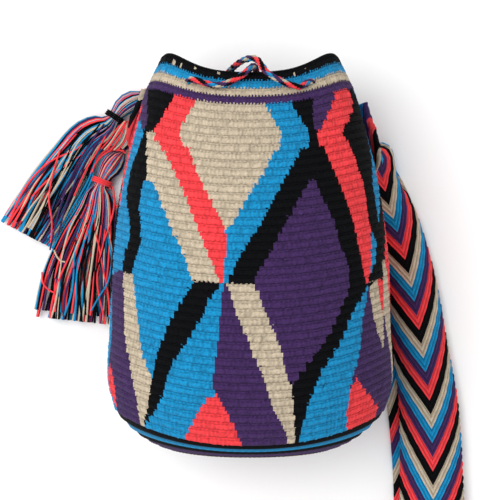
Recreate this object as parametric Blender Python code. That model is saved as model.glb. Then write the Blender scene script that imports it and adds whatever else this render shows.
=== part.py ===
"""A crocheted mochila bag that lies on its back, with its drawstring, two tassels and shoulder strap.

Metres. The floor is z = 0, the bag's front faces +Z, its mouth +Y and its base -Y.
"""

import math

import bmesh
import bpy
from mathutils import Vector

MM = 0.001

# The crocheted body
WALL = 4.0 * MM
FIELD_ROWS = 42
RIM_ROWS = 4
ROWS = FIELD_ROWS + RIM_ROWS
ROUND_STEPS = 40
RIDGE = 0.55 * MM
SQUARENESS = 2.2
BODY_HALF_WIDTH = 114.0 * MM
BODY_HEIGHT = 181.0 * MM
BASE_REACH = 160.0 * MM
BASE_ROUNDING = 4.0
BASE_HALF_WIDTH = 108.0 * MM
BASE_TOP = 148.0 * MM
MOUTH_HALF_WIDTH = 71.0 * MM
MOUTH_TOP = 137.0 * MM
MOUTH_BOTTOM = 22.0 * MM
BACK_CLEARANCE = 13.0 * MM
GATHER_DEPTH = 7.0 * MM
EAR_HEIGHT = 5.0 * MM
DRAWN_ROWS = 8
# The rings of the base, from its centre, and of the inner faces, from the mouth
BASE_SHARES = (0.22, 0.44, 0.62, 0.76, 0.87, 0.95)
INNER_ROWS = (46, 44, 41, 38, 34, 30, 25, 20, 15, 10, 6, 3, 1)
INNER_SHARES = (0.9, 0.75, 0.55, 0.3)
# The steps over which a surface's slopes are read: radians round, rows and shares
TURN_STEP = 0.02
ROW_STEP = 0.3
SHARE_STEP = 0.02
SHARP_DEGREES = 50.0

# Rows are counted from the base. Each pair is (row, value at that row).
HALF_WIDTHS = (
    (0, BASE_HALF_WIDTH),
    (4, BODY_HALF_WIDTH),
    (11, BODY_HALF_WIDTH - 2.0 * MM),
    (20, BODY_HALF_WIDTH - 3.5 * MM),
    (30, BODY_HALF_WIDTH - 12.0 * MM),
    (38, BODY_HALF_WIDTH - 24.0 * MM),
    (FIELD_ROWS, MOUTH_HALF_WIDTH + 12.0 * MM),
    (ROWS, MOUTH_HALF_WIDTH),
)
FRONT_HEIGHTS = (
    (0, BASE_TOP),
    (4, BODY_HEIGHT - 17.0 * MM),
    (10, BODY_HEIGHT - 5.0 * MM),
    (20, BODY_HEIGHT),
    (30, BODY_HEIGHT - 4.0 * MM),
    (38, BODY_HEIGHT - 20.0 * MM),
    (ROWS, MOUTH_TOP),
)
BACK_HEIGHTS = (
    (0, 8.0 * MM),
    (3, -6.0 * MM),
    (8, -10.0 * MM),
    (27, -10.0 * MM),
    (35, BACK_CLEARANCE),
    (ROWS, MOUTH_BOTTOM),
)
FRONT_REACH = ((0, -147.0 * MM), (FIELD_ROWS, 116.0 * MM), (ROWS, 141.0 * MM))
SIDE_REACH = ((0, -124.0 * MM), (FIELD_ROWS, 131.0 * MM), (ROWS, 157.0 * MM))
BACK_REACH = ((0, -140.0 * MM), (FIELD_ROWS, 100.0 * MM), (ROWS, 122.0 * MM))
# Degrees round from the front, with the share of the depth by which the wall stands out there.
GATHERS = ((0, 0), (112, 0), (128, -0.35), (144, -1), (160, 0), (180, 0.6), (200, 0))
EARS = ((0, 0), (25, 0.1), (60, 1), (85, 0.1), (100, 0), (180, 0))

# The two eyelets, in degrees round from the front on each side
EYELET_ROW = ROWS - 2.0
EYELET_ANGLE = 38
CORD_DIAMETER = 5.2 * MM
EYELET_CLEARANCE = 1.6 * MM
EYELET_DRILL = 19.0 * MM
EYELET_SIDES = 10
FIT = 0.3 * MM

# The drawstring's route, from the upper tassel to the lower one, in millimetres
CORD_ROUTE = (
    (-98.5, 133.2, 3.9),
    (-86, 138.5, 3.1),
    (-58, 138, 3),
    (-39, 139.5, 6),
    (-28, 142.5, 19),
    (-22, 145, 44),
    (-15, 147.5, 98),
    (-10, 150, 117),
    (-3, 152.5, 131),
    (5, 151.5, 140.5),
    (13, 141, 145.5),
    (21, 135.5, 146.8),
    (30.5, 131.5, 146),
    (39, 130.3, 144.3),
    (45, 133.8, 138.6),
    (49, 135, 129.5),
    (54, 135.5, 120),
    (67, 140.5, 102),
    (70, 140.5, 75),
    (62, 134, 58),
    (54, 129.5, 49.5),
    (40, 122, 43.5),
    (26, 115.5, 34),
    (13, 112.5, 28.5),
    (0, 111.5, 26.7),
    (-13, 112.5, 28.5),
    (-26, 115.5, 34),
    (-40, 122, 43.5),
    (-54, 129.5, 49.5),
    (-62, 134, 58),
    (-70, 140.5, 75),
    (-67, 140.5, 102),
    (-54, 135.5, 120),
    (-49, 135, 129.5),
    (-45, 136, 137.5),
    (-38.5, 134.3, 142),
    (-29, 131.2, 145.6),
    (-20, 131.5, 146.8),
    (-12.5, 135, 146.2),
    (-3.5, 141, 144.6),
    (2, 146.3, 138),
    (4.5, 146, 122),
    (5, 143.5, 70),
    (4, 141.5, 40),
    (1, 138, 15),
    (-7, 132, 5),
    (-20, 126, 3),
    (-60, 106, 2.9),
    (-84, 99.5, 3),
    (-98, 95, 3.3),
    (-107.6, 86.5, 3.9),
)
CORD_SPACING = 17.0 * MM

# The strap's band, and where its two ends are sewn, in degrees round from the front
STRAP_WIDTH = 58.0 * MM
STRAP_THICKNESS = 5.0 * MM
STRAP_SPACING = 17.0 * MM
STRAP_ARC_STEPS = 5
RIGHT_SEATS = ((ROWS - 5.0, 0.7 * MM), (ROWS - 6.5, 1.0 * MM), (ROWS - 8.5, 2.6 * MM))
LEFT_SEATS = ((ROWS - 3.0, 1.0 * MM), (ROWS - 4.5, 1.9 * MM), (ROWS - 6.5, 3.9 * MM))
STRAP_END_CURL = 0.2
LEAST_CURL = 0.02
RIGHT_END_ANGLE = 119.0
LEFT_END_ANGLE = -126.0
# Between its sewn ends: the band's middle in millimetres, its width's direction, and its curl
STRAP_ROUTE = (
    ((108, 81, 36), (-50, 0, 84), 0.45),
    ((110.5, 67, 30), (-92, 0, 34), 1.4),
    ((114.5, 46, 28), (-96, 0, 24), 1.4),
    ((121, 25, 26), (-100, 0, 5), 1.45),
    ((133.5, -22, 26), (-100, 0, 0), 1.4),
    ((143.5, -80, 25.5), (-100, 0, 0), 1.35),
    ((150.5, -130, 24), (-100, 0, 0), 1.15),
    ((153, -201, 21), (-100, 0, 0), 0.85),
    ((153.5, -262, 17.5), (-100, 0, 0), 0.5),
    ((153, -310, 16), (-100, 0, 0), 0.12),
    ((152.5, -334, 12), (-100, 0, 0), 0.02),
    ((152, -341, 7.8), (-100, 0, 0), 0.02),
    ((151.5, -332, 3.6), (-100, 0, 0), 0.02),
    ((151, -308, 2.8), (-100, 0, 0), 0.02),
    ((150.5, -200, 2.8), (-100, 0, 0), 0.02),
    ((146.5, -140, 2.8), (-100, -9, 0), 0.02),
    ((141, -100, 2.8), (-100, -16, 0), 0.02),
    ((130, -40, 2.8), (-98, -21, 0), 0.02),
    ((119.5, 2, 2.8), (-97, -25, 0), 0.02),
    ((105.5, 44, 3.2), (-90, -43, 0), 0.02),
    ((82, 77, 6.3), (-50, -86, 0), 0.02),
    ((45, 93, 8.9), (-10, -99, 0), 0.02),
    ((5, 96, 8.9), (0, -100, 0), 0.02),
    ((-30, 94, 9.2), (4, -99, 2), 0.05),
    ((-58, 93, 13), (2, -98, 12), 0.1),
    ((-69, 97, 24), (-52, -66, 46), 0.12),
)

# The tassels: heads, necks and skirts in the floor's plane, in millimetres
TASSEL_FLUTES = 12
FLUTE_DEPTH = 0.10
YARN = 2.3 * MM
WRAP_TURNS = 3
WRAP_STEPS = 12
WRAP_ROUNDING = 1.035
# Each station: the middle, half-width and half-height. The wrap is wound between the two of NECK.
UPPER_TASSEL = (
    ((-99, 133, 3.9), 3.6, 3.6),
    ((-102, 131.2, 7.9), 8.2, 7.4),
    ((-105.6, 127, 9.4), 9.6, 9.0),
    ((-108.8, 122.8, 10), 8.2, 7.4),
    ((-110.5, 120.5, 10.2), 7.0, 6.0),
    ((-117.5, 110.9, 10.2), 7.0, 6.0),
    ((-121, 107.8, 9.6), 10.5, 8.0),
    ((-136.3, 99, 9.1), 14.5, 8.8),
    ((-153, 79.5, 8.7), 17.5, 8.4),
    ((-171, 53, 7.7), 20.0, 7.4),
    ((-190, 17.5, 6.5), 24.5, 6.2),
)
LOWER_TASSEL = (
    ((-108, 86, 3.9), 3.6, 3.6),
    ((-111.3, 82.5, 7.9), 8.2, 7.4),
    ((-116, 76, 9.7), 10.4, 9.4),
    ((-120.5, 69.5, 10), 9.0, 8.0),
    ((-122.5, 66.5, 10.2), 7.0, 6.0),
    ((-127, 56, 10.2), 7.0, 6.0),
    ((-128, 52, 9.4), 10.5, 8.2),
    ((-131, 36, 9.1), 15.5, 8.8),
    ((-138, 10, 8.9), 22.5, 8.6),
    ((-144.5, -20, 7.9), 31.0, 7.6),
    ((-148, -56, 6.5), 35.5, 6.2),
)
NECK = (4, 5)

SEAM_YARN = 2.0 * MM
SEAM_STITCHES = 13
SEAM_DEPTH = 5.5 * MM
SEAM_GAP = 0.95 * MM
SEAM_SPAN = 0.72
SEAM_INSET = 2.0 * MM

COLOURS = {
    "mochila_black": (0.012, 0.011, 0.014),
    "mochila_coral": (0.9, 0.08, 0.09),
    "mochila_beige": (0.6, 0.5, 0.37),
}


def smooth_value(knots, at):
    """Read the smooth curve through the (position, value) knots."""
    last = len(knots) - 1
    if at <= knots[0][0]:
        return knots[0][1]
    if at >= knots[last][0]:
        return knots[last][1]
    i = next(k for k in range(last) if knots[k + 1][0] >= at)

    def slope(k):
        low, high = max(k - 1, 0), min(k + 1, last)
        return (knots[high][1] - knots[low][1]) / (knots[high][0] - knots[low][0])

    span = knots[i + 1][0] - knots[i][0]
    t = (at - knots[i][0]) / span
    rise = knots[i + 1][1] - knots[i][1]
    start, end = slope(i) * span, slope(i + 1) * span
    bend = (start - rise) * (1 - t) + (rise - end) * t
    return knots[i][1] + rise * t + t * (1 - t) * bend


def signed_power(value, power):
    """Raise a value's size to a power and keep its sign."""
    return math.copysign(abs(value) ** power, value)


def wall_point(angle, row):
    """A point on the wall's smooth outer face: angle from the front towards +X, row from the base."""
    around, ahead = math.sin(angle), math.cos(angle)
    degrees = abs(math.degrees(math.remainder(angle, math.tau)))
    drawn = max(0.0, (row - FIELD_ROWS + DRAWN_ROWS) / (RIM_ROWS + DRAWN_ROWS))
    out = GATHER_DEPTH * smooth_value(GATHERS, degrees) * drawn ** 1.5
    top = smooth_value(FRONT_HEIGHTS, row)
    bottom = smooth_value(BACK_HEIGHTS, row)
    side = smooth_value(SIDE_REACH, row)
    end = smooth_value(FRONT_REACH if ahead > 0 else BACK_REACH, row)
    x = (smooth_value(HALF_WIDTHS, row) + out) * signed_power(around, 2 / SQUARENESS)
    y = side + (end - side) * ahead ** 2
    y += EAR_HEIGHT * smooth_value(EARS, degrees) * drawn ** 2
    z = (top + bottom) / 2 + ((top - bottom) / 2 + out) * signed_power(ahead, 2 / SQUARENESS)
    return Vector((x, y, max(z, 0.0)))


def base_point(angle, share):
    """A point on the domed base's smooth outer face: share 1 is its edge and 0 its centre."""
    edge = wall_point(angle, 0)
    middle = (BASE_TOP + BACK_HEIGHTS[0][1]) / 2
    y = -BASE_REACH + (edge.y + BASE_REACH) * share ** BASE_ROUNDING
    return Vector((edge.x * share, y, middle + (edge.z - middle) * share))


def face_normal(surface, angle, along, step):
    """The outward normal of a surface at an angle and a place along it."""
    turned = surface(angle + TURN_STEP, along) - surface(angle - TURN_STEP, along)
    moved = surface(angle, along + step) - surface(angle, along - step)
    return turned.cross(moved).normalized()


def offset_point(surface, angle, along, step, out):
    """A point that stands off a surface by a distance along its normal."""
    return surface(angle, along) + face_normal(surface, angle, along, step) * out


def loft(name, rings, start_pole=None, end_pole=None):
    """Join rings of points, each as long as the others, into one closed body."""
    bm = bmesh.new()
    loops = [[bm.verts.new(point) for point in ring] for ring in rings]
    count = len(rings[0])
    for before, after in zip(loops, loops[1:]):
        for i in range(count):
            j = (i + 1) % count
            bm.faces.new((before[i], after[i], after[j], before[j]))
    for loop, pole, flip in ((loops[0], start_pole, True), (loops[-1], end_pole, False)):
        if pole is None:
            bm.faces.new(loop if flip else loop[::-1])
            continue
        tip = bm.verts.new(pole)
        for i in range(count):
            j = (i + 1) % count
            bm.faces.new((loop[j], tip, loop[i]) if flip else (loop[i], tip, loop[j]))
    bmesh.ops.triangulate(bm, faces=bm.faces[:])
    bmesh.ops.recalc_face_normals(bm, faces=bm.faces[:])
    mesh = bpy.data.meshes.new(name)
    bm.to_mesh(mesh)
    bm.free()
    mesh.shade_smooth()
    mesh.set_sharp_from_angle(angle=math.radians(SHARP_DEGREES))
    return mesh


def yarn_material(name):
    """A matte dyed yarn."""
    material = bpy.data.materials.new(name)
    material.use_nodes = True
    shader = material.node_tree.nodes["Principled BSDF"]
    shader.inputs["Base Color"].default_value = (*COLOURS[name], 1.0)
    shader.inputs["Roughness"].default_value = 0.9
    shader.inputs["Metallic"].default_value = 0.0
    return material


def add_object(name, data, material):
    """Put a mesh or curve in the scene with its own material."""
    obj = bpy.data.objects.new(name, data)
    data.materials.append(material)
    bpy.context.scene.collection.objects.link(obj)
    return obj


def round_angles():
    """The angles of the steps round the bag, from the front."""
    return [math.tau * k / ROUND_STEPS for k in range(ROUND_STEPS)]


def on_floor(point, face):
    """The point, brought to the floor where it would lie below it or where its smooth face lies flat."""
    return Vector((point.x, point.y, max(point.z, 0.0) if face.z > 0.0 else 0.0))


def ridged_ring(angles, row, out):
    """A ring of the wall's outer face, standing out by a distance, flat where the bag lies."""
    faces = [wall_point(a, row) for a in angles]
    points = [offset_point(wall_point, a, row, ROW_STEP, out) for a in angles]
    return [on_floor(point, face) for point, face in zip(points, faces)]


def body_rings():
    """The rings of the body: outer base, ridged wall, rim, inner wall and inner base."""
    angles = round_angles()
    rings = []
    for share in BASE_SHARES:
        ring = [base_point(a, share) for a in angles]
        rings.append([on_floor(point, point) for point in ring])
    for half_row in range(2 * ROWS):
        rings.append(ridged_ring(angles, half_row / 2, RIDGE if half_row % 2 else -RIDGE))
    rings.append([wall_point(a, ROWS) for a in angles])
    for row in INNER_ROWS:
        rings.append([offset_point(wall_point, a, row, ROW_STEP, -WALL) for a in angles])
    for share in INNER_SHARES:
        rings.append([offset_point(base_point, a, share, SHARE_STEP, -WALL) for a in angles])
    return rings


def eyelet_frames():
    """The middle and the direction of each eyelet: where the drawstring's route meets the wall."""
    route = [Vector(point) * MM for point in CORD_ROUTE]
    frames = []
    for degrees in (EYELET_ANGLE, -EYELET_ANGLE):
        middle = offset_point(wall_point, math.radians(degrees), EYELET_ROW, ROW_STEP, -WALL / 2)
        near = min(range(1, len(route) - 1), key=lambda k: (route[k] - middle).length)
        frames.append((route[near], (route[near + 1] - route[near - 1]).normalized()))
    return frames


def cut_eyelets(body):
    """Drill the eyelets along the drawstring's own direction."""
    bm = bmesh.new()
    radius = CORD_DIAMETER / 2 + EYELET_CLEARANCE
    for middle, direction in eyelet_frames():
        turn = direction.to_track_quat("Z", "Y").to_matrix().to_4x4()
        turn.translation = middle
        bmesh.ops.create_cone(
            bm,
            cap_ends=True,
            segments=EYELET_SIDES,
            radius1=radius,
            radius2=radius,
            depth=EYELET_DRILL,
            matrix=turn,
        )
    mesh = bpy.data.meshes.new("eyelet_cutters")
    bm.to_mesh(mesh)
    bm.free()
    cutters = bpy.data.objects.new("eyelet_cutters", mesh)
    bpy.context.scene.collection.objects.link(cutters)
    cutters.hide_render = True
    cutters.display_type = "WIRE"
    cut = body.modifiers.new("eyelets", "BOOLEAN")
    cut.operation = "DIFFERENCE"
    cut.solver = "EXACT"
    cut.object = cutters


def build_body():
    """The crocheted bag: one open shell with ridged rows."""
    rings = body_rings()
    outer_pole = base_point(0.0, 0.0)
    inner_pole = outer_pole + Vector((0.0, WALL, 0.0))
    mesh = loft("bag_body", rings, outer_pole, inner_pole)
    body = add_object("bag_body", mesh, yarn_material("mochila_black"))
    cut_eyelets(body)
    return body


def route_places(middles, spacing):
    """Distances along a route: its own points, and points about a spacing apart between them."""
    along = [0.0]
    for before, after in zip(middles, middles[1:]):
        along.append(along[-1] + (after - before).length)
    places = []
    for start, end in zip(along, along[1:]):
        steps = max(1, round((end - start) / spacing))
        places += [start + (end - start) * k / steps for k in range(steps)]
    return along, places + [along[-1]]


def vector_at(along, vectors, at):
    """The smooth curve through vectors that stand at distances along a route."""
    return Vector([smooth_value(list(zip(along, line)), at) for line in zip(*vectors)])


def cord_curve(name, points, diameter):
    """A round cord along the points, with filled ends."""
    curve = bpy.data.curves.new(name, "CURVE")
    curve.dimensions = "3D"
    curve.bevel_depth = diameter / 2
    curve.bevel_resolution = 2
    curve.use_fill_caps = True
    spline = curve.splines.new("POLY")
    spline.points.add(len(points) - 1)
    for place, point in zip(spline.points, points):
        place.co = (*point, 1.0)
    return curve


def build_drawstring():
    """The drawstring, along its hand-laid route."""
    route = [Vector(point) * MM for point in CORD_ROUTE]
    along, places = route_places(route, CORD_SPACING)
    points = [vector_at(along, route, at) for at in places]
    curve = cord_curve("drawstring", points, CORD_DIAMETER)
    return add_object("drawstring", curve, yarn_material("mochila_beige"))


def sewn_stations(degrees, seats):
    """The band where it lies against the wall, from its sewn end to where it leaves."""
    angle = math.radians(degrees)
    stations = []
    for row, gap in seats:
        stand_off = STRAP_THICKNESS / 2 + RIDGE + gap
        middle = offset_point(wall_point, angle, row, ROW_STEP, stand_off)
        width = wall_point(angle - TURN_STEP, row) - wall_point(angle + TURN_STEP, row)
        width *= math.copysign(1.0, degrees)
        stations.append((middle, width.normalized(), STRAP_END_CURL))
    return stations


def strap_stations():
    """The band's middle, width direction and curl from the right sewn end to the left one."""
    free = [(Vector(m) * MM, Vector(w).normalized(), curl) for m, w, curl in STRAP_ROUTE]
    left_end = sewn_stations(LEFT_END_ANGLE, LEFT_SEATS)[::-1]
    return sewn_stations(RIGHT_END_ANGLE, RIGHT_SEATS) + free + left_end


def strap_frame(stations, along, at):
    """The band at a distance from its right end: middle, width, outer normal and curl."""
    middles, widths, curls = zip(*stations)
    step = STRAP_SPACING / 4
    ahead = vector_at(along, middles, at + step) - vector_at(along, middles, at - step)
    ahead.normalize()
    width = vector_at(along, widths, at)
    width = (width - ahead * width.dot(ahead)).normalized()
    curl = smooth_value(list(zip(along, curls)), at)
    return vector_at(along, middles, at), width, width.cross(ahead), max(curl, LEAST_CURL)


def band_point(frame, across, out):
    """A point off the band: across runs from -1 to 1 between its edges, out stands off its middle."""
    middle, width, outward, curl = frame
    radius = STRAP_WIDTH / 2 / curl
    turn = width * math.sin(curl * across) + outward * math.cos(curl * across)
    return middle - outward * radius + turn * (radius + out)


def strap_section(frame):
    """One section of the band, as an arc with square edges, from its outer face round to its inner."""
    places = [2 * k / STRAP_ARC_STEPS - 1 for k in range(STRAP_ARC_STEPS + 1)]
    outer = [band_point(frame, across, STRAP_THICKNESS / 2) for across in places]
    inner = [band_point(frame, across, -STRAP_THICKNESS / 2) for across in places]
    return outer + inner[::-1]


def build_strap():
    """The woven shoulder strap, one band from seam to seam."""
    stations = strap_stations()
    along, places = route_places([station[0] for station in stations], STRAP_SPACING)
    rings = [strap_section(strap_frame(stations, along, at)) for at in places]
    mesh = loft("shoulder_strap", rings)
    return add_object("shoulder_strap", mesh, yarn_material("mochila_coral"))


def tassel_frames(stations):
    """The tassel's stations as middle, sideways direction, half-width and half-height."""
    middles = [Vector(station[0]) * MM for station in stations]
    before, after = [middles[0]] + middles[:-1], middles[1:] + [middles[-1]]
    frames = []
    for low, middle, high, (_, wide, tall) in zip(before, middles, after, stations):
        ahead = high - low
        sideways = Vector((-ahead.y, ahead.x, 0.0)).normalized()
        frames.append((middle, sideways, wide * MM, tall * MM))
    return frames


def build_tassel(name, stations, colour):
    """A tassel's yarn bundle: a folded head, a neck and a fluted skirt with a cut end."""
    rings = []
    count = 2 * TASSEL_FLUTES
    for middle, sideways, wide, high in tassel_frames(stations):
        ring = []
        for k in range(count):
            turn = math.tau * k / count
            size = 1.0 - (FLUTE_DEPTH if k % 2 else 0.0)
            point = middle + sideways * wide * size * math.cos(turn)
            ring.append(point + Vector((0.0, 0.0, high * size * math.sin(turn))))
        rings.append(ring)
    return add_object(name, loft(name, rings), yarn_material(colour))


def build_wrap(name, stations, colour):
    """The yarn wound round a tassel's neck."""
    (start, sideways, wide, high), (end, _, _, _) = (tassel_frames(stations)[k] for k in NECK)
    ahead = (end - start).normalized()
    sideways = Vector((-ahead.y, ahead.x, 0.0))
    pitch = YARN + FIT
    slack = YARN / 2 + FIT
    points = []
    for k in range(WRAP_TURNS * WRAP_STEPS + 1):
        turn = math.tau * k / WRAP_STEPS
        point = (start + end) / 2 + ahead * pitch * (k / WRAP_STEPS - WRAP_TURNS / 2)
        point += sideways * (wide + slack) * math.cos(turn) * WRAP_ROUNDING
        points.append(point + Vector((0.0, 0.0, (high + slack) * math.sin(turn) * WRAP_ROUNDING)))
    return add_object(name, cord_curve(name, points, YARN), yarn_material(colour))


def build_seam(name, from_right):
    """The zigzag of yarn that sews an end of the strap down, between the band's last two sections."""
    stations = strap_stations()
    along, places = route_places([station[0] for station in stations], STRAP_SPACING)
    ends = places[:2] if from_right else places[:-3:-1]
    edge, inward = (strap_frame(stations, along, at) for at in ends)
    out = STRAP_THICKNESS / 2 + SEAM_YARN / 2 + SEAM_GAP
    points = []
    for k in range(SEAM_STITCHES):
        across = SEAM_SPAN * (2 * k / (SEAM_STITCHES - 1) - 1)
        share = (SEAM_INSET + (SEAM_DEPTH if k % 2 else 0.0)) / abs(ends[1] - ends[0])
        points.append(band_point(edge, across, out).lerp(band_point(inward, across, out), share))
    return add_object(name, cord_curve(name, points, SEAM_YARN), yarn_material("mochila_beige"))


def main():
    """Build every piece of the bag."""
    for obj in list(bpy.data.objects):
        bpy.data.objects.remove(obj, do_unlink=True)
    build_body()
    build_drawstring()
    build_strap()
    build_tassel("upper_tassel_yarns", UPPER_TASSEL, "mochila_coral")
    build_wrap("upper_tassel_wrap", UPPER_TASSEL, "mochila_black")
    build_tassel("lower_tassel_yarns", LOWER_TASSEL, "mochila_beige")
    build_wrap("lower_tassel_wrap", LOWER_TASSEL, "mochila_coral")
    build_seam("strap_seam_right", True)
    build_seam("strap_seam_left", False)


main()
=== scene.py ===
"""The looks of a crocheted mochila bag that lies on its back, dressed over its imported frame.

Metres, in the frame's axes: the floor is z = 0, the bag's front faces +Z and its mouth +Y.
"""

import logging
import math
from dataclasses import dataclass, field
from enum import IntEnum
from typing import Callable, Optional, Sequence

import bmesh
import bpy
import numpy as np
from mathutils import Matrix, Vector
from mathutils.kdtree import KDTree


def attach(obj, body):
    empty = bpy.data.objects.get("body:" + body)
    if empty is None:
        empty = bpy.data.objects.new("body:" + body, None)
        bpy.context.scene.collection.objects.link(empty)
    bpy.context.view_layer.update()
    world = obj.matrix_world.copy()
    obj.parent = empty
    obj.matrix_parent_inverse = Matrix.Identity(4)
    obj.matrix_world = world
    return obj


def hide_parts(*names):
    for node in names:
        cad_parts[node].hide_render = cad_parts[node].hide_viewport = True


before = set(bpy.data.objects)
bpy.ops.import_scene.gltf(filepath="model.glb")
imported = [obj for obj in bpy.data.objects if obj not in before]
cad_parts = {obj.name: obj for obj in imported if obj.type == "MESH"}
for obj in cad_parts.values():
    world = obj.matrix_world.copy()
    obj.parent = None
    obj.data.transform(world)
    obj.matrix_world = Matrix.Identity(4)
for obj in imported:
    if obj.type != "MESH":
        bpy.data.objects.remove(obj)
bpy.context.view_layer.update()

logging.basicConfig(level=logging.INFO, format="%(name)s: %(message)s")
LOG = logging.getLogger("mochila")

MM = 0.001
# How high the lowest points stand over the floor, so that no face lies in it
FLOOR_GAP = 0.1 * MM

# The camera looks straight down. The photo's measured places are pixels from its upper left corner.
PHOTO_SIDE = 500
CAMERA_HEIGHT = 1.6
CAMERA_Y = 4.0 * MM
CAMERA_LENS = 135.9
CAMERA_SENSOR = 36.0

# The wall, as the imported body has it
FIELD_ROWS = 42
RIM_ROWS = 4
ROWS = FIELD_ROWS + RIM_ROWS
WALL = 4.0 * MM
SQUARENESS = 2.2
DRAWN_ROWS = 8
GATHER_DEPTH = 7.0 * MM
EAR_HEIGHT = 5.0 * MM
BASE_REACH = 160.0 * MM
BASE_ROUNDING = 4.0
BASE_TOP = 148.0 * MM
BASE_BOTTOM = 8.0 * MM

# How many points measure a row's girth
GIRTH_POINTS = 721

Knots = Sequence[tuple[float, float]]
Pixels = tuple[tuple[float, float], ...]

HALF_WIDTHS: Knots = (
    (0, 108), (4, 114), (11, 112), (20, 110.5), (30, 102), (38, 90), (42, 83), (46, 71),
)
FRONT_HEIGHTS: Knots = ((0, 148), (4, 164), (10, 176), (20, 181), (30, 177), (38, 161), (46, 137))
BACK_HEIGHTS: Knots = ((0, 8), (3, -6), (8, -10), (27, -10), (35, 13), (46, 22))
FRONT_REACH: Knots = ((0, -147), (42, 116), (46, 141))
SIDE_REACH: Knots = ((0, -124), (42, 131), (46, 157))
BACK_REACH: Knots = ((0, -140), (42, 100), (46, 122))
GATHERS: Knots = ((0, 0), (112, 0), (128, -0.35), (144, -1), (160, 0), (180, 0.6), (200, 0))
EARS: Knots = ((0, 0), (25, 0.1), (60, 1), (85, 0.1), (100, 0), (180, 0))


class Yarn(IntEnum):
    """The five dyed yarns, in the order of each piece's material slots."""

    BLACK = 0
    BLUE = 1
    BEIGE = 2
    PURPLE = 3
    CORAL = 4


@dataclass(frozen=True)
class YarnFinish:
    """How one dyed yarn looks.

    Attributes:
        name: The yarn's name in material names.
        colour: Its sRGB colour.
        mottle: How far its brightness wanders, as a share.
        sheen: The strength of its loose fibres' sheen.
        sheen_roughness: How far that sheen spreads.
        roughness: How matte the yarn is.
        specular: How much it mirrors, where 0.5 is usual.
    """

    name: str
    colour: str
    mottle: float
    sheen: float
    sheen_roughness: float = 0.6
    roughness: float = 0.92
    specular: float = 0.12


@dataclass(frozen=True)
class Grain:
    """How a yarn is worked on one kind of piece.

    Attributes:
        name: The work's name in material names.
        fibre: The size of the fibre grain, in millimetres.
        depth: The height of the fibre bumps, in millimetres.
        shade: The brightness left in the grooves, where the relief is lowest; this darkening is painted
            shade.
        strength: How strongly the fibre bumps show.
        finer: How many times finer the fuzz is than the grain.
    """

    name: str
    fibre: float
    depth: float
    shade: float
    strength: float = 0.8
    finer: float = 4.0


FINISHES: dict[Yarn, YarnFinish] = {
    Yarn.BLACK: YarnFinish("black", "#06070A", 0.50, 0.00),
    Yarn.BLUE: YarnFinish("blue", "#168FC6", 0.22, 0.04),
    Yarn.BEIGE: YarnFinish("beige", "#CABAA2", 0.16, 0.05),
    Yarn.PURPLE: YarnFinish("purple", "#432A5C", 0.28, 0.04),
    Yarn.CORAL: YarnFinish("coral", "#FB454B", 0.12, 0.03),
}
CROCHET = Grain("crochet", 1.2, 0.30, 0.40)
WEAVE = Grain("weave", 1.1, 0.25, 0.50)
BRAID = Grain("braid", 0.8, 0.15, 0.55)
STRAND = Grain("strand", 0.7, 0.12, 1.0)


def smooth(knots: Knots, at: np.ndarray) -> np.ndarray:
    """Reads the smooth curve through (place, value) knots.

    Args:
        knots: The places, rising, with the value at each.
        at: Where to read it.
    Returns:
        The values, in the shape of at.
    """
    places = np.array([knot[0] for knot in knots], float)
    values = np.array([knot[1] for knot in knots], float)
    last = len(places) - 1
    at = np.clip(np.asarray(at, float), places[0], places[-1])
    low = np.clip(np.searchsorted(places, at, side="left") - 1, 0, last - 1)
    before, after = np.maximum(np.arange(last + 1) - 1, 0), np.minimum(np.arange(last + 1) + 1, last)
    slopes = (values[after] - values[before]) / (places[after] - places[before])
    span = places[low + 1] - places[low]
    share = (at - places[low]) / span
    rise = values[low + 1] - values[low]
    start, end = slopes[low] * span, slopes[low + 1] * span
    bend = (start - rise) * (1 - share) + (rise - end) * share
    return values[low] + rise * share + share * (1 - share) * bend


def smooth_vectors(along: np.ndarray, vectors: np.ndarray, at: np.ndarray) -> np.ndarray:
    """Reads the smooth curve through vectors that stand at distances along a route.

    Args:
        along: The distances, rising.
        vectors: One vector at each.
        at: The distances to read.
    Returns:
        One vector for each distance.
    """
    return np.stack([smooth(list(zip(along, axis)), at) for axis in vectors.T], axis=-1)


def signed_power(value: np.ndarray, power: float) -> np.ndarray:
    """Raises sizes to a power and keeps their signs."""
    return np.sign(value) * np.abs(value) ** power


def unit(vectors: np.ndarray) -> np.ndarray:
    """Vectors of length 1 in the same directions."""
    return vectors / np.maximum(np.linalg.norm(vectors, axis=-1, keepdims=True), 1e-12)


def distances(points: np.ndarray) -> np.ndarray:
    """Each point's distance along the line through all of them."""
    return np.concatenate([[0.0], np.cumsum(np.linalg.norm(np.diff(points, axis=0), axis=1))])


def to_pixels(points: np.ndarray) -> tuple[np.ndarray, np.ndarray]:
    """Where points show in the photo.

    Args:
        points: Points in the frame, in metres.
    Returns:
        Their pixel columns and rows.
    """
    pixel = CAMERA_SENSOR / CAMERA_LENS / PHOTO_SIDE * (CAMERA_HEIGHT - points[..., 2])
    return PHOTO_SIDE / 2 + points[..., 0] / pixel, PHOTO_SIDE / 2 - (points[..., 1] - CAMERA_Y) / pixel


def from_pixel(column: float, row: float, height: float) -> Vector:
    """The point at a height that shows at a pixel of the photo.

    Args:
        column: The pixel's column.
        row: The pixel's row.
        height: The point's height over the floor, in metres.
    Returns:
        The point in the frame.
    """
    pixel = CAMERA_SENSOR / CAMERA_LENS / PHOTO_SIDE * (CAMERA_HEIGHT - height)
    half = PHOTO_SIDE / 2
    return Vector(((column - half) * pixel, (half - row) * pixel + CAMERA_Y, height))


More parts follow.
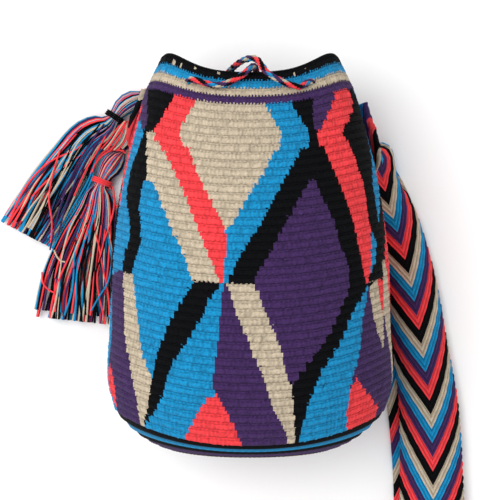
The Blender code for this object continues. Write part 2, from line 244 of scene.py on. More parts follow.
def linear(colour: str) -> tuple[float, float, float, float]:
    """Turns an sRGB colour such as #FF8040 to linear light.

    Args:
        colour: Six hexadecimal digits after a hash.
    Returns:
        Linear red, green, blue and an alpha of 1.
    """
    parts = [int(colour[k : k + 2], 16) / 255 for k in (1, 3, 5)]
    light = [p / 12.92 if p <= 0.04045 else ((p + 0.055) / 1.055) ** 2.4 for p in parts]
    return (*light, 1.0)


def add_node(
    tree: bpy.types.NodeTree, kind: str, values: Optional[dict] = None, links: Optional[dict] = None
) -> bpy.types.Node:
    """Adds one shader node.

    Args:
        tree: The node tree.
        kind: The node's type.
        values: Settings by name, and values by the input's name or number.
        links: Output sockets by the input's name or number.
    Returns:
        The node.
    """
    node = tree.nodes.new(kind)
    for name, value in (values or {}).items():
        if isinstance(name, str) and hasattr(node, name) and name not in node.inputs:
            setattr(node, name, value)
        else:
            node.inputs[name].default_value = value
    for name, socket in (links or {}).items():
        tree.links.new(socket, node.inputs[name])
    return node


class MaterialShop:
    """Makes each yarn's material once for each kind of work."""

    def __init__(self) -> None:
        """Starts with no materials."""
        self.made: dict[str, bpy.types.Material] = {}

    def yarn(self, yarn: Yarn, grain: Grain) -> bpy.types.Material:
        """A matte dyed yarn with mottled colour, painted shade in its grooves and fibre bumps.

        Args:
            yarn: Which yarn it is.
            grain: How it is worked.
        Returns:
            The material.
        """
        finish = FINISHES[yarn]
        name = f"{grain.name}_{finish.name}"
        if name in self.made:
            return self.made[name]
        material = bpy.data.materials.new(name)
        material.use_nodes = True
        tree = material.node_tree
        shader = tree.nodes["Principled BSDF"]
        place = add_node(tree, "ShaderNodeTexCoord").outputs["Object"]
        ply = add_node(
            tree,
            "ShaderNodeTexNoise",
            {"Scale": 1 / (grain.fibre * MM), "Detail": 2.0, "Roughness": 0.6},
            {"Vector": place},
        )
        fuzz = add_node(
            tree,
            "ShaderNodeTexNoise",
            {"Scale": grain.finer / (grain.fibre * MM), "Detail": 2.0, "Roughness": 0.7},
            {"Vector": place},
        )
        relief = add_node(tree, "ShaderNodeAttribute", {"attribute_name": "relief"})
        # Painted shade: the colour darkens where the relief is low, in the grooves and between strands.
        groove = add_node(
            tree,
            "ShaderNodeMapRange",
            {"To Min": grain.shade, "To Max": 1.0},
            {"Value": relief.outputs["Fac"]},
        )
        mottle = add_node(
            tree,
            "ShaderNodeMapRange",
            {"From Min": 0.3, "From Max": 0.7, "To Min": 1 - finish.mottle, "To Max": 1 + finish.mottle},
            {"Value": ply.outputs["Fac"]},
        )
        both = add_node(
            tree,
            "ShaderNodeMath",
            {"operation": "MULTIPLY"},
            {0: groove.outputs["Result"], 1: mottle.outputs["Result"]},
        )
        shaded = add_node(
            tree,
            "ShaderNodeVectorMath",
            {"operation": "SCALE", 0: linear(finish.colour)[:3]},
            {"Scale": both.outputs["Value"]},
        )
        tree.links.new(shaded.outputs["Vector"], shader.inputs["Base Color"])
        bump = add_node(
            tree,
            "ShaderNodeBump",
            {"Strength": grain.strength, "Distance": grain.depth * MM},
            {"Height": fuzz.outputs["Fac"]},
        )
        tree.links.new(bump.outputs["Normal"], shader.inputs["Normal"])
        shader.inputs["Roughness"].default_value = finish.roughness
        shader.inputs["Specular IOR Level"].default_value = finish.specular
        shader.inputs["Sheen Weight"].default_value = finish.sheen
        shader.inputs["Sheen Roughness"].default_value = finish.sheen_roughness
        self.made[name] = material
        return material

    def dress(self, obj: bpy.types.Object, grain: Grain) -> None:
        """Gives an object the five yarns' materials, in the order of Yarn."""
        for yarn in Yarn:
            obj.data.materials.append(self.yarn(yarn, grain))


@dataclass
class Patch:
    """One grid of a mesh.

    Attributes:
        points: Its points, by row and column.
        yarns: Each face's yarn, by row and column.
        relief: Each point's relief, from 0 in a groove to 1 on a ridge, which the yarn materials turn into
            painted shade.
    """

    points: np.ndarray
    yarns: np.ndarray
    relief: np.ndarray


def mesh_object(
    name: str, patches: Sequence[Patch], cut: Optional[Callable] = None, closed: bool = False
) -> bpy.types.Object:
    """Makes one object from grids.

    Args:
        name: The object's name.
        patches: The grids, whose columns cross their rows to face outward.
        cut: Returns the faces of a bmesh to take away.
        closed: Whether open ends are filled.
    Returns:
        The object, in the scene.
    """
    bm = bmesh.new()
    for patch in patches:
        rows, columns = patch.yarns.shape
        bmesh.ops.create_grid(bm, x_segments=columns, y_segments=rows, size=1.0)
    mesh = bpy.data.meshes.new(name)
    bm.to_mesh(mesh)
    bm.free()
    points = np.concatenate([patch.points.reshape(-1, 3) for patch in patches])
    mesh.vertices.foreach_set("co", points.astype(np.float32).ravel())
    mesh.polygons.foreach_set("material_index", np.concatenate([p.yarns.ravel() for p in patches]))
    relief = mesh.attributes.new("relief", "FLOAT", "POINT")
    relief.data.foreach_set("value", np.concatenate([p.relief.ravel() for p in patches]).astype(np.float32))
    bm = bmesh.new()
    bm.from_mesh(mesh)
    bmesh.ops.remove_doubles(bm, verts=bm.verts[:], dist=1e-6)
    if cut:
        bmesh.ops.delete(bm, geom=cut(bm), context="FACES")
    if closed:
        bmesh.ops.holes_fill(bm, edges=[edge for edge in bm.edges if edge.is_boundary], sides=0)
    bm.to_mesh(mesh)
    bm.free()
    mesh.shade_smooth()
    obj = bpy.data.objects.new(name, mesh)
    bpy.context.scene.collection.objects.link(obj)
    return obj


def curve_object(name: str, depth: float, sides: int) -> bpy.types.Object:
    """Makes a curve object with a round, capped section and no lines yet.

    Args:
        name: The object's name.
        depth: The section's radius, in metres.
        sides: How finely the section is rounded.
    Returns:
        The object, in the scene.
    """
    curve = bpy.data.curves.new(name, "CURVE")
    curve.dimensions = "3D"
    curve.bevel_depth = depth
    curve.bevel_resolution = sides
    curve.use_fill_caps = True
    obj = bpy.data.objects.new(name, curve)
    bpy.context.scene.collection.objects.link(obj)
    return obj


def add_spline(
    obj: bpy.types.Object, points: np.ndarray, yarn: Yarn = Yarn.BLACK, radii: Optional[np.ndarray] = None
) -> None:
    """Adds one line to a curve object.

    Args:
        obj: The curve object.
        points: The line's points.
        yarn: Its material slot.
        radii: The share of the curve's depth at each point.
    """
    spline = obj.data.splines.new("POLY")
    spline.points.add(len(points) - 1)
    spline.points.foreach_set("co", np.column_stack([points, np.ones(len(points))]).ravel())
    if radii is not None:
        spline.points.foreach_set("radius", radii)
    spline.material_index = int(yarn)
    spline.use_smooth = True


def place_piece(obj: bpy.types.Object, slot: str, *nodes: str) -> None:
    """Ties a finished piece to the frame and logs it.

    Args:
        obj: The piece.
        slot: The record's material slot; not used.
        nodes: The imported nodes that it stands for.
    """
    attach(obj, "root")
    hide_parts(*nodes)
    LOG.info("%s stands for %s", obj.name, ", ".join(nodes))


class WallForm:
    """The smooth outer face of the crocheted wall and base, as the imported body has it."""

    # The steps over which its slopes are read: radians, rows and shares of the base
    TURN_STEP = 0.02
    ROW_STEP = 0.3
    BASE_STEP = 0.01

    def wall(self, angles: np.ndarray, rows: np.ndarray) -> np.ndarray:
        """Points of the wall.

        Args:
            angles: Radians round from the front towards +X.
            rows: Crochet rows from the base.
        Returns:
            The points.
        """
        angles, rows = np.broadcast_arrays(np.asarray(angles, float), np.asarray(rows, float))
        around, ahead = np.sin(angles), np.cos(angles)
        degrees = np.abs(np.degrees((angles + np.pi) % (2 * np.pi) - np.pi))
        drawn = np.maximum(0.0, (rows - FIELD_ROWS + DRAWN_ROWS) / (RIM_ROWS + DRAWN_ROWS))
        out = GATHER_DEPTH * smooth(GATHERS, degrees) * drawn**1.5
        top, bottom = smooth(FRONT_HEIGHTS, rows) * MM, smooth(BACK_HEIGHTS, rows) * MM
        side = smooth(SIDE_REACH, rows) * MM
        end = np.where(ahead > 0, smooth(FRONT_REACH, rows), smooth(BACK_REACH, rows)) * MM
        x = (smooth(HALF_WIDTHS, rows) * MM + out) * signed_power(around, 2 / SQUARENESS)
        y = side + (end - side) * ahead**2 + EAR_HEIGHT * smooth(EARS, degrees) * drawn**2
        z = (top + bottom) / 2 + ((top - bottom) / 2 + out) * signed_power(ahead, 2 / SQUARENESS)
        return np.stack([x, y, np.maximum(z, 0.0)], axis=-1)

    def base(self, angles: np.ndarray, shares: np.ndarray) -> np.ndarray:
        """Points of the domed base.

        Args:
            angles: Radians round from the front towards +X.
            shares: 1 at the base's edge and 0 at its centre.
        Returns:
            The points.
        """
        angles, shares = np.broadcast_arrays(np.asarray(angles, float), np.asarray(shares, float))
        edge = self.wall(angles, np.zeros_like(angles))
        middle = (BASE_TOP + BASE_BOTTOM) / 2
        y = -BASE_REACH + (edge[..., 1] + BASE_REACH) * shares**BASE_ROUNDING
        return np.stack([edge[..., 0] * shares, y, middle + (edge[..., 2] - middle) * shares], axis=-1)

    def offset(
        self, surface: Callable, angles: np.ndarray, along: np.ndarray, step: float, out: np.ndarray
    ) -> np.ndarray:
        """Points that stand off a surface.

        Args:
            surface: The wall or the base.
            angles: Radians round from the front.
            along: Rows, or shares of the base.
            step: The step over which the slope along is read.
            out: How far each point stands out.
        Returns:
            The points, none of them under the floor.
        """
        turned = surface(angles + self.TURN_STEP, along) - surface(angles - self.TURN_STEP, along)
        moved = surface(angles, along + step) - surface(angles, along - step)
        points = surface(angles, along) + unit(np.cross(turned, moved)) * np.asarray(out)[..., None]
        points[..., 2] = np.maximum(points[..., 2], FLOOR_GAP)
        return points


class Diamond(IntEnum):
    """Which of the lattice's diamonds a field of colour fills."""

    NONE = 0
    UPPER = 1
    LOWER = 2


@dataclass(frozen=True)
class ColourField:
    """One field of the crocheted pattern.

    Attributes:
        yarn: Its colour.
        outline: Its corners, in the photo's pixels.
        diamond: The kind of diamond that it fills, whose colour changes from cell to cell.
    """

    yarn: Yarn
    outline: Pixels
    diamond: Diamond = Diamond.NONE

    def holds(self, x: np.ndarray, y: np.ndarray) -> np.ndarray:
        """Which places lie in the field.

        Args:
            x: The places' pixel columns.
            y: Their pixel rows.
        Returns:
            True for each place inside the outline.
        """
        inside = np.zeros(np.shape(x), bool)
        for (x1, y1), (x2, y2) in zip(self.outline, self.outline[1:] + self.outline[:1]):
            crosses = (y1 > y) != (y2 > y)
            inside ^= crosses & (x < (x2 - x1) * (y - y1) / ((y2 - y1) or 1.0) + x1)
        return inside


CORAL_ONE_OUT: Pixels = (
    (177, 92), (155, 129), (155, 141), (163, 150), (169, 161), (178, 180), (186, 197), (192, 213),
    (201, 237), (207, 252), (214, 269), (221, 285),
)
CORAL_ONE_IN: Pixels = (
    (224, 285), (225, 262), (226, 242), (225.5, 230), (222, 221), (214, 207), (206, 191), (197, 174),
    (189, 150), (180, 141), (180, 128), (201, 92),
)
BLUE_ONE_IN: Pixels = (
    (225.5, 230), (227, 230), (236, 219), (246, 200), (260, 179), (276, 150), (281, 146), (281, 132),
    (264, 104),
)
BLUE_ONE_OUT: Pixels = (
    (291, 104), (309, 132), (309, 144), (301, 150), (287, 175), (278, 191), (268, 211), (258, 229),
    (245, 248), (236, 264), (227.6, 283), (224, 286),
)
CORAL_TWO_OUT: Pixels = (
    (336, 92), (332, 105), (323, 125), (317.6, 134), (317.6, 143), (324, 148), (332, 166), (340, 186),
    (345, 198), (353, 221), (359, 249), (363.5, 270), (366.5, 288),
)
CORAL_TWO_IN: Pixels = (
    (366.5, 286), (370.6, 272), (371.6, 251), (370.6, 231), (366.5, 205), (364.5, 188), (359, 171),
    (352, 150), (347, 140), (341, 134), (345, 127), (350, 117), (353, 109), (351, 92),
)
ARM_ZERO_RIGHT: Pixels = (
    (146.8, 178), (143.9, 180), (140.8, 191), (139.3, 207), (140.8, 228), (141.3, 242), (137.8, 254),
    (133.7, 262), (132, 272),
)
ARM_ZERO_LEFT: Pixels = (
    (123, 267), (124.5, 254), (129.6, 240), (130.6, 226), (126.5, 201), (127.6, 188), (131, 169),
    (134, 160), (138, 151), (141.5, 139), (143.5, 134), (142, 131), (144, 125), (140, 118),
)
STRIP_ZERO_RIGHT: Pixels = (
    (132, 272), (136, 303), (138, 315), (139, 336), (143, 356), (148, 371), (152, 376),
)
BEIGE_ZERO_LEFT: Pixels = (
    (146.8, 178), (156, 188), (160, 201), (166, 215), (173.5, 234), (181, 248), (188, 269), (193, 284),
)
BLACK_ONE_LEFT: Pixels = (
    (183, 300), (175, 312), (168, 326), (162, 341), (157, 353), (154, 369), (149, 392), (147, 407),
    (144, 417),
)
BLACK_ONE_RIGHT: Pixels = (
    (145, 424), (151, 417), (156, 410), (161, 400), (165, 390), (166, 380), (172, 365), (182, 349),
    (191, 335), (202, 318), (209, 300), (221, 285),
)
MIDDLE_ONE: Pixels = (
    (223, 286), (222, 300), (220, 320), (218, 341), (215, 361), (213, 382), (213, 392), (216, 394),
)
TRIANGLE_ONE_LEFT: Pixels = ((207, 400), (198, 414), (191, 426), (183, 441), (182, 452))
TRIANGLE_ONE_RIGHT: Pixels = ((241, 452), (241, 443), (237, 434), (233, 424), (228, 415), (222, 404))
BEIGE_ONE_LEFT: Pixels = (
    (226.5, 286), (231, 297), (234, 308), (241, 325), (250, 345), (254, 357), (259, 366), (263.5, 380),
    (268, 389), (271, 403), (275, 413), (280, 422), (285, 431), (290.5, 452),
)
BEIGE_ONE_RIGHT: Pixels = (
    (294, 452), (295, 424), (293, 407), (292, 389), (289, 381), (285, 366), (281, 350), (278, 341),
    (274, 333), (270, 323), (264, 310), (259, 296), (254, 286),
)
PURPLE_ONE: Pixels = (
    (254, 283), (258, 272), (270, 254), (279, 236), (291, 214), (303, 191), (311, 181), (316, 182),
    (325, 203), (334, 221), (339, 241), (347, 262), (350, 282), (347, 294), (337, 318), (329, 335),
    (320, 349), (311, 360), (301, 373), (293, 386), (289, 381), (285, 366), (281, 350), (278, 341),
    (274, 333), (270, 323), (264, 310), (259, 296), (254, 287),
)
BLACK_TWO_RIGHT: Pixels = (
    (299, 452), (299, 437), (302, 428), (306, 415), (309, 402), (315.5, 387), (322, 371), (332, 357),
    (342, 339), (348, 323), (355, 308), (360, 300), (367, 287),
)
MIDDLE_TWO: Pixels = (
    (368.6, 287), (366, 305), (362, 322), (361, 341), (358, 361), (352, 380), (349, 392), (347, 412),
    (346, 452),
)
BEIGE_TWO_LEFT: Pixels = (
    (369.6, 287), (370, 299), (373, 313), (376, 328), (381, 343), (386, 352), (390, 364), (400, 380),
)
BEIGE_TWO_RIGHT: Pixels = ((400, 364), (389, 336), (385, 323), (380, 302), (378, 281))
STRIP_ZERO_LEFT: Pixels = (
    (142, 434), (139, 415), (136, 397), (133, 382), (130, 361), (125.5, 344), (124.5, 325), (124.5, 300),
    (123, 272),
)

# In painting order, over black
PATTERN: tuple[ColourField, ...] = (
    ColourField(Yarn.BLUE, ((80, 118),) + ARM_ZERO_LEFT[::-1] + ((122, 276), (80, 276))),
    ColourField(Yarn.PURPLE, ((120, 84), (147.5, 84), (147.5, 125), (143, 128), (136, 118), (120, 118))),
    ColourField(Yarn.BLUE, ARM_ZERO_RIGHT + STRIP_ZERO_RIGHT + BLACK_ONE_LEFT[5::-1] + BEIGE_ZERO_LEFT[::-1]),
    ColourField(Yarn.BEIGE, ((146.8, 134), (155, 134)) + CORAL_ONE_OUT[2:] + BEIGE_ZERO_LEFT[::-1]),
    ColourField(Yarn.CORAL, CORAL_ONE_OUT + CORAL_ONE_IN),
    ColourField(Yarn.BEIGE, CORAL_ONE_IN[3:] + BLUE_ONE_IN[::-1], Diamond.UPPER),
    ColourField(Yarn.BLUE, BLUE_ONE_IN + BLUE_ONE_OUT + ((225, 262), (226, 242))),
    ColourField(Yarn.PURPLE, ((313.5, 92), (336, 92), (332, 105), (323, 125), (317, 133), (313.5, 128))),
    ColourField(Yarn.BLACK, CORAL_TWO_IN + ((400, 92), (400, 286)), Diamond.UPPER),
    ColourField(Yarn.CORAL, CORAL_TWO_OUT + CORAL_TWO_IN),
    ColourField(Yarn.BLUE, ((371, 232), (376, 240), (376, 262), (371, 273))),
    ColourField(Yarn.PURPLE, PURPLE_ONE, Diamond.LOWER),
    ColourField(Yarn.BLUE, BLACK_ONE_RIGHT + MIDDLE_ONE + TRIANGLE_ONE_LEFT + ((145, 452),)),
    ColourField(Yarn.PURPLE, MIDDLE_ONE + TRIANGLE_ONE_RIGHT[::-1] + BEIGE_ONE_LEFT[::-1]),
    ColourField(Yarn.CORAL, ((216, 394),) + TRIANGLE_ONE_LEFT + TRIANGLE_ONE_RIGHT),
    ColourField(Yarn.BEIGE, BEIGE_ONE_LEFT + BEIGE_ONE_RIGHT),
    ColourField(Yarn.BLUE, BLACK_TWO_RIGHT + MIDDLE_TWO),
    ColourField(Yarn.PURPLE, MIDDLE_TWO + ((400, 452),) + BEIGE_TWO_LEFT[::-1]),
    ColourField(Yarn.CORAL, ((357, 378), (362, 388), (369, 394), (374, 402), (379, 408), (384, 430),
                             (346, 452), (347, 412), (349, 392))),
    ColourField(Yarn.BEIGE, BEIGE_TWO_LEFT + BEIGE_TWO_RIGHT),
    ColourField(Yarn.CORAL, BEIGE_TWO_RIGHT + ((384, 281), (420, 281), (420, 364)), Diamond.LOWER),
    ColourField(Yarn.PURPLE, ((80, 276),) + STRIP_ZERO_LEFT[::-1] + ((80, 434),)),
    ColourField(Yarn.CORAL, ((80, 350), (110, 362), (115, 385), (117, 412), (80, 412))),
    ColourField(Yarn.BEIGE, STRIP_ZERO_LEFT + STRIP_ZERO_RIGHT + ((151, 387), (149, 402), (145, 420))),
)
RIM_YARNS = (Yarn.PURPLE, Yarn.BEIGE, Yarn.BLUE, Yarn.BLACK)
# Where paler yarn shows through the black row, in the photo's pixels
RIM_FLECKS: Pixels = (
    (174, 62.5), (180.5, 66), (195.5, 68.5), (218.5, 73), (294, 74), (305, 69),
)
FLECKS_ABOVE = 80.0 * MM
BASE_YARNS = (
    Yarn.BLACK, Yarn.BLUE, Yarn.BLACK, Yarn.PURPLE, Yarn.PURPLE, Yarn.BLACK, Yarn.BEIGE,
    Yarn.BLACK, Yarn.CORAL, Yarn.CORAL, Yarn.BLACK, Yarn.BLUE, Yarn.BLACK, Yarn.PURPLE,
)


@dataclass(frozen=True)
class Lattice:
    """Where the pattern's five cells stand round the bag, as shares of its girth from the front.

    Attributes:
        zero: The vertex at the photo's left.
        one: The vertex near the front's middle.
        two: The vertex at the photo's right.
        hidden_cells: How many cells fill the part that the photo doesn't show.
        margin: How far past the outer vertices the photo's own fields are used.
        upper_yarns: The upper diamonds' colours, one at each hidden cell's side.
        lower_yarns: The lower diamonds' colours, one in each hidden cell.
    """

    zero: float = -0.182
    one: float = -0.031
    two: float = 0.160
    hidden_cells: int = 3
    margin: float = 0.03
    upper_yarns: tuple[Yarn, ...] = (Yarn.BLACK, Yarn.PURPLE, Yarn.BEIGE, Yarn.CORAL)
    lower_yarns: tuple[Yarn, ...] = (Yarn.CORAL, Yarn.BLUE, Yarn.PURPLE)

    def read(self, shares: np.ndarray) -> tuple[np.ndarray, np.ndarray, np.ndarray]:
        """Where to read the pattern for places round the girth.

        Args:
            shares: Places, as shares of the girth from the front.
        Returns:
            The shares to read, the hidden cell (or -1) and the place in that cell from 0 to 1.
        """
        shares = (shares + 0.5) % 1.0 - 0.5
        shown = (shares > self.zero - self.margin) & (shares < self.two + self.margin)
        span = (self.zero - self.two) % 1.0
        place = ((shares - self.two) % 1.0) / span * self.hidden_cells
        cell = np.clip(np.floor(place), 0, self.hidden_cells - 1).astype(int)
        local = np.clip(place - cell, 0.0, 1.0)
        read = np.where(shown, shares, self.one + local * (self.two - self.one))
        return read, np.where(shown, -1, cell), local

    def yarns(self, shares: np.ndarray, point_at: Callable[[np.ndarray], np.ndarray]) -> np.ndarray:
        """The yarn of each stitch of a row.

        Args:
            shares: The stitches' middles, as shares of the girth.
            point_at: Gives the row's points at shares of the girth.
        Returns:
            One yarn for each stitch.
        """
        read, cell, local = self.read(shares)
        x, y = to_pixels(point_at(read))
        found = np.full(len(shares), int(Yarn.BLACK))
        kind = np.zeros(len(shares), int)
        for colour_field in PATTERN:
            inside = colour_field.holds(x, y)
            found[inside] = int(colour_field.yarn)
            kind[inside] = int(colour_field.diamond)
        upper = np.array(self.upper_yarns, int)[cell.clip(0) + (local > 0.5)]
        lower = np.array(self.lower_yarns, int)[cell.clip(0)]
        found = np.where((cell >= 0) & (kind == Diamond.UPPER), upper, found)
        return np.where((cell >= 0) & (kind == Diamond.LOWER), lower, found)


@dataclass
class CrochetBody:
    """The crocheted bag: every stitch of its wall, base and lip, and a plainer inside.

    Attributes:
        form: The smooth face.
        lattice: Where the pattern's cells stand.
        seed: What the stitches' wandering starts from.
        stitches: How many stitches go round a row.
        crest: How high a row stands over the smooth face.
        groove: How deep the groove between rows is.
        gap: How deep the groove between stitches is.
        wander: How far a stitch's height wanders.
        speckle: How far the yarn's shade wanders within a stitch.
        dotting: How much paler the painted groove shade is at the stitches' middles.
        drift: How far the lines in a row wander, as a share of the row.
        rounding: How far a colour's edge follows the pattern within a row, from 0 to 1.
        row_heights: A row's section: shares of the row, with 1 for the crest and -1 for the groove.
        fleck_size: How far a fleck reaches sideways and up, in the photo's pixels.
        base_columns: How many stitches go round the base.
        base_centre: Where the base's last round ends, as a share of its reach.
        inside_columns: How many faces go round the inside.
        inside_ridge: How far the rows stand out on the inside.
        inside_relief: The relief that sets the inside's painted shade.
        lip_rise: How far the rolled lip stands over the last row.
        lip_relief: The relief that sets the lip's painted shade.
        eyelet_rows: How many rows down from the rim the eyelets may open.
    """

    form: WallForm
    lattice: Lattice = field(default_factory=Lattice)
    seed: int = 7
    stitches: int = 186
    crest: float = 0.6 * MM
    groove: float = 0.5 * MM
    gap: float = 0.3 * MM
    wander: float = 0.12 * MM
    speckle: float = 0.16
    dotting: float = 0.45
    drift: float = 0.07
    rounding: float = 0.45
    row_heights: Knots = ((0.0, -1.0), (0.13, 0.7), (0.6, 0.9), (0.72, -0.6), (0.86, 1.0), (1.0, -1.0))
    fleck_size: tuple[float, float] = (0.9, 1.3)
    base_columns: int = 93
    base_centre: float = 0.015
    inside_columns: int = 92
    inside_ridge: float = 0.4 * MM
    inside_relief: float = 0.6
    lip_rise: float = 2.1 * MM
    lip_relief: float = 0.8
    eyelet_rows: float = 7.0

    def angles_at(self, row: float, shares: np.ndarray) -> np.ndarray:
        """The angles of places round a row.

        Args:
            row: The row, or a place between rows.
            shares: The places, as shares of the row's girth from the front.
        Returns:
            One angle for each place, in radians.
        """
        angles = np.linspace(-np.pi, np.pi, GIRTH_POINTS)
        along = distances(self.form.wall(angles, np.full(GIRTH_POINTS, row)))
        own = along / along[-1] - 0.5
        turns = np.array([-1.0, 0.0, 1.0])
        wide = (own[None, :-1] + turns[:, None]).ravel()
        wide_angles = (angles[None, :-1] + turns[:, None] * 2 * np.pi).ravel()
        return np.interp(shares, wide, wide_angles)

    def stitch_lines(self, row: int) -> np.ndarray:
        """The shares of a row's grid lines, two to a stitch."""
        return (np.arange(2 * self.stitches + 1) + row % 2) / (2 * self.stitches) - 0.5

    def row_yarns(self, row: int, lines: np.ndarray, level: float = 0.5) -> np.ndarray:
        """The yarn of each place between a row's grid lines.

        Args:
            row: The row.
            lines: The grid lines, as shares of the girth.
            level: How far up the row the places lie, from 0 to 1.
        Returns:
            One yarn for each place.
        """
        middles = (lines[1:] + lines[:-1]) / 2
        if row >= FIELD_ROWS:
            return np.full(len(middles), int(RIM_YARNS[row - FIELD_ROWS]))
        height = row + 0.5 + self.rounding * (level - 0.5)

        def point_at(shares: np.ndarray) -> np.ndarray:
            """The wall's points at this height."""
            return self.form.wall(self.angles_at(height, shares), height)

        return self.lattice.yarns(middles, point_at)

    def row_patch(self, row: int, rng: np.random.Generator) -> Patch:
        """One row of stitches.

        Args:
            row: The row.
            rng: The wandering's numbers.
        Returns:
            The row's grid.
        """
        lines = self.stitch_lines(row)
        angles = self.angles_at(row + 0.5, lines)
        levels = np.array([knot[0] for knot in self.row_heights])
        heights = np.array([knot[1] for knot in self.row_heights])
        out = np.where(heights > 0, heights * self.crest, heights * self.groove)[:, None]
        out = np.repeat(out, len(lines), axis=1)
        between = np.arange(len(lines)) % 2 == 0
        tall = heights > 0
        out[np.ix_(tall, between)] -= self.gap
        wander = rng.normal(0.0, self.wander, self.stitches + 1)[np.arange(len(lines)) // 2]
        out[tall] += wander
        drift = rng.normal(0.0, self.drift, out.shape) * (levels * (1 - levels) > 0)[:, None]
        heights_at = row + levels[:, None] + drift
        points = self.form.offset(self.form.wall, angles[None, :], heights_at, WallForm.ROW_STEP, out)
        # The relief sets the painted shade: darker in the grooves, paler at the stitches' middles.
        relief = (out + self.groove) / (self.groove + self.crest)
        relief[np.ix_(~tall, ~between)] += self.dotting
        relief = np.clip(relief + rng.normal(0.0, self.speckle, out.shape), 0.0, 1.0)
        yarns = np.stack([self.row_yarns(row, lines, level) for level in (levels[1:] + levels[:-1]) / 2])
        if row:
            yarns[0, ::2] = self.row_yarns(row - 1, lines)[::2]
        if row == ROWS - 1:
            self.fleck(yarns, points)
        return Patch(points, yarns, relief)

    def fleck(self, yarns: np.ndarray, points: np.ndarray) -> None:
        """Lets paler yarn show through the front of the black row.

        Args:
            yarns: The row's faces, which it changes.
            points: The row's points.
        """
        middles = (points[:-1, :-1] + points[1:, 1:]) / 2
        x, y = to_pixels(middles)
        wide, high = self.fleck_size
        for column, line in RIM_FLECKS:
            near = (np.abs(x - column) < wide) & (np.abs(y - line) < high)
            yarns[near & (middles[..., 2] > FLECKS_ABOVE)] = int(Yarn.BEIGE)

    def lip_patch(self) -> Patch:
        """The rolled lip from the last row to the inside.

        Returns:
            The lip's grid.
        """
        lines = self.stitch_lines(ROWS - 1)
        angles = self.angles_at(ROWS - 0.5, lines)[None, :]
        turns = np.linspace(0, np.pi, 5)[:, None]
        out = -WALL / 2 + (WALL / 2 + self.crest * 0.5) * np.cos(turns)
        out = out * np.ones_like(angles) - self.gap * 0.6 * (np.arange(len(lines)) % 2 == 0)
        last = np.full(turns.shape, float(ROWS))
        points = self.form.offset(self.form.wall, angles, last, WallForm.ROW_STEP, out)
        up = unit(self.form.wall(angles, last) - self.form.wall(angles, last - WallForm.ROW_STEP))
        points = points + up * (self.lip_rise * np.sin(turns))[..., None]
        yarns = np.full((len(turns) - 1, len(lines) - 1), int(Yarn.BLACK))
        return Patch(points, yarns, np.full(points.shape[:2], self.lip_relief))

    def base_patch(self) -> Patch:
        """The rounds of the base.

        Returns:
            The base's grid.
        """
        rounds = len(BASE_YARNS)
        columns = 2 * self.base_columns
        angles = self.angles_at(0.0, np.arange(columns + 1) / columns - 0.5)[None, :]
        levels = np.linspace(1.0, 0.0, 2 * rounds + 1)
        out = np.where(np.arange(len(levels)) % 2 == 1, self.crest, -self.groove)[:, None]
        out = np.repeat(out, columns + 1, axis=1)
        out[1::2] -= self.gap * (np.arange(columns + 1) % 2 == 0)
        shares = np.clip(levels, self.base_centre, 1.0)[:, None]
        points = self.form.offset(self.form.base, angles, shares, WallForm.BASE_STEP, out)[::-1]
        # The relief sets the painted shade in the base's grooves.
        relief = np.clip((out + self.groove) / (self.groove + self.crest), 0.0, 1.0)[::-1]
        yarns = np.repeat(np.array(BASE_YARNS, int)[::-1], 2)[:, None].repeat(columns, axis=1)
        return Patch(points, yarns, relief)

    def inside_patches(self) -> list[Patch]:
        """The inside of the wall and of the base.

        Returns:
            The two grids.
        """
        shares = np.arange(self.inside_columns + 1) / self.inside_columns - 0.5
        rows = np.arange(ROWS, -1, -1)
        angles = np.stack([self.angles_at(float(row), shares) for row in rows])
        ridges = np.where(rows % 2 == 0, self.inside_ridge, -self.inside_ridge)[:, None]
        at_rows = rows[:, None].astype(float)
        out = -WALL + ridges * np.ones_like(angles)
        points = self.form.offset(self.form.wall, angles, at_rows, WallForm.ROW_STEP, out)
        yarns = np.stack([self.row_yarns(int(row) - 1, shares) for row in rows[:-1]])
        wall = Patch(points, yarns, np.full(points.shape[:2], self.inside_relief))
        levels = np.linspace(0.96, self.base_centre, 8)[:, None]
        base_angles = self.angles_at(0.0, shares)[None, ::2]
        under = np.full(levels.shape, -WALL)
        floor = self.form.offset(self.form.base, base_angles, levels, WallForm.BASE_STEP, under)
        plain = np.full((len(levels) - 1, floor.shape[1] - 1), int(Yarn.BLACK))
        return [wall, Patch(floor, plain, np.full(floor.shape[:2], self.inside_relief))]

    def build(self, shop: MaterialShop, route: np.ndarray, cord_radius: float) -> bpy.types.Object:
        """Makes the bag.

        Args:
            shop: Where the yarns' materials come from.
            route: The drawstring's points, along which the eyelets open.
            cord_radius: The drawstring's radius.
        Returns:
            The piece.
        """
        rng = np.random.default_rng(self.seed)
        patches = [self.base_patch()] + [self.row_patch(row, rng) for row in range(ROWS)]
        patches += [self.lip_patch()] + self.inside_patches()
        tree = KDTree(len(route))
        for number, point in enumerate(route):
            tree.insert(point, number)
        tree.balance()
        lowest = float(self.form.wall(np.array(np.pi), np.array(ROWS - self.eyelet_rows))[1])

        def eyelets(bm: bmesh.types.BMesh) -> list:
            """The faces near the rim that the drawstring would run through."""
            rim = [f for f in bm.faces if f.calc_center_median().y > lowest]
            return [f for f in rim if tree.find(f.calc_center_median())[2] < cord_radius]

        obj = mesh_object("crocheted_bag", patches, eyelets)
        shop.dress(obj, CROCHET)
        place_piece(obj, "crochet_cotton", "bag_body")
        return obj


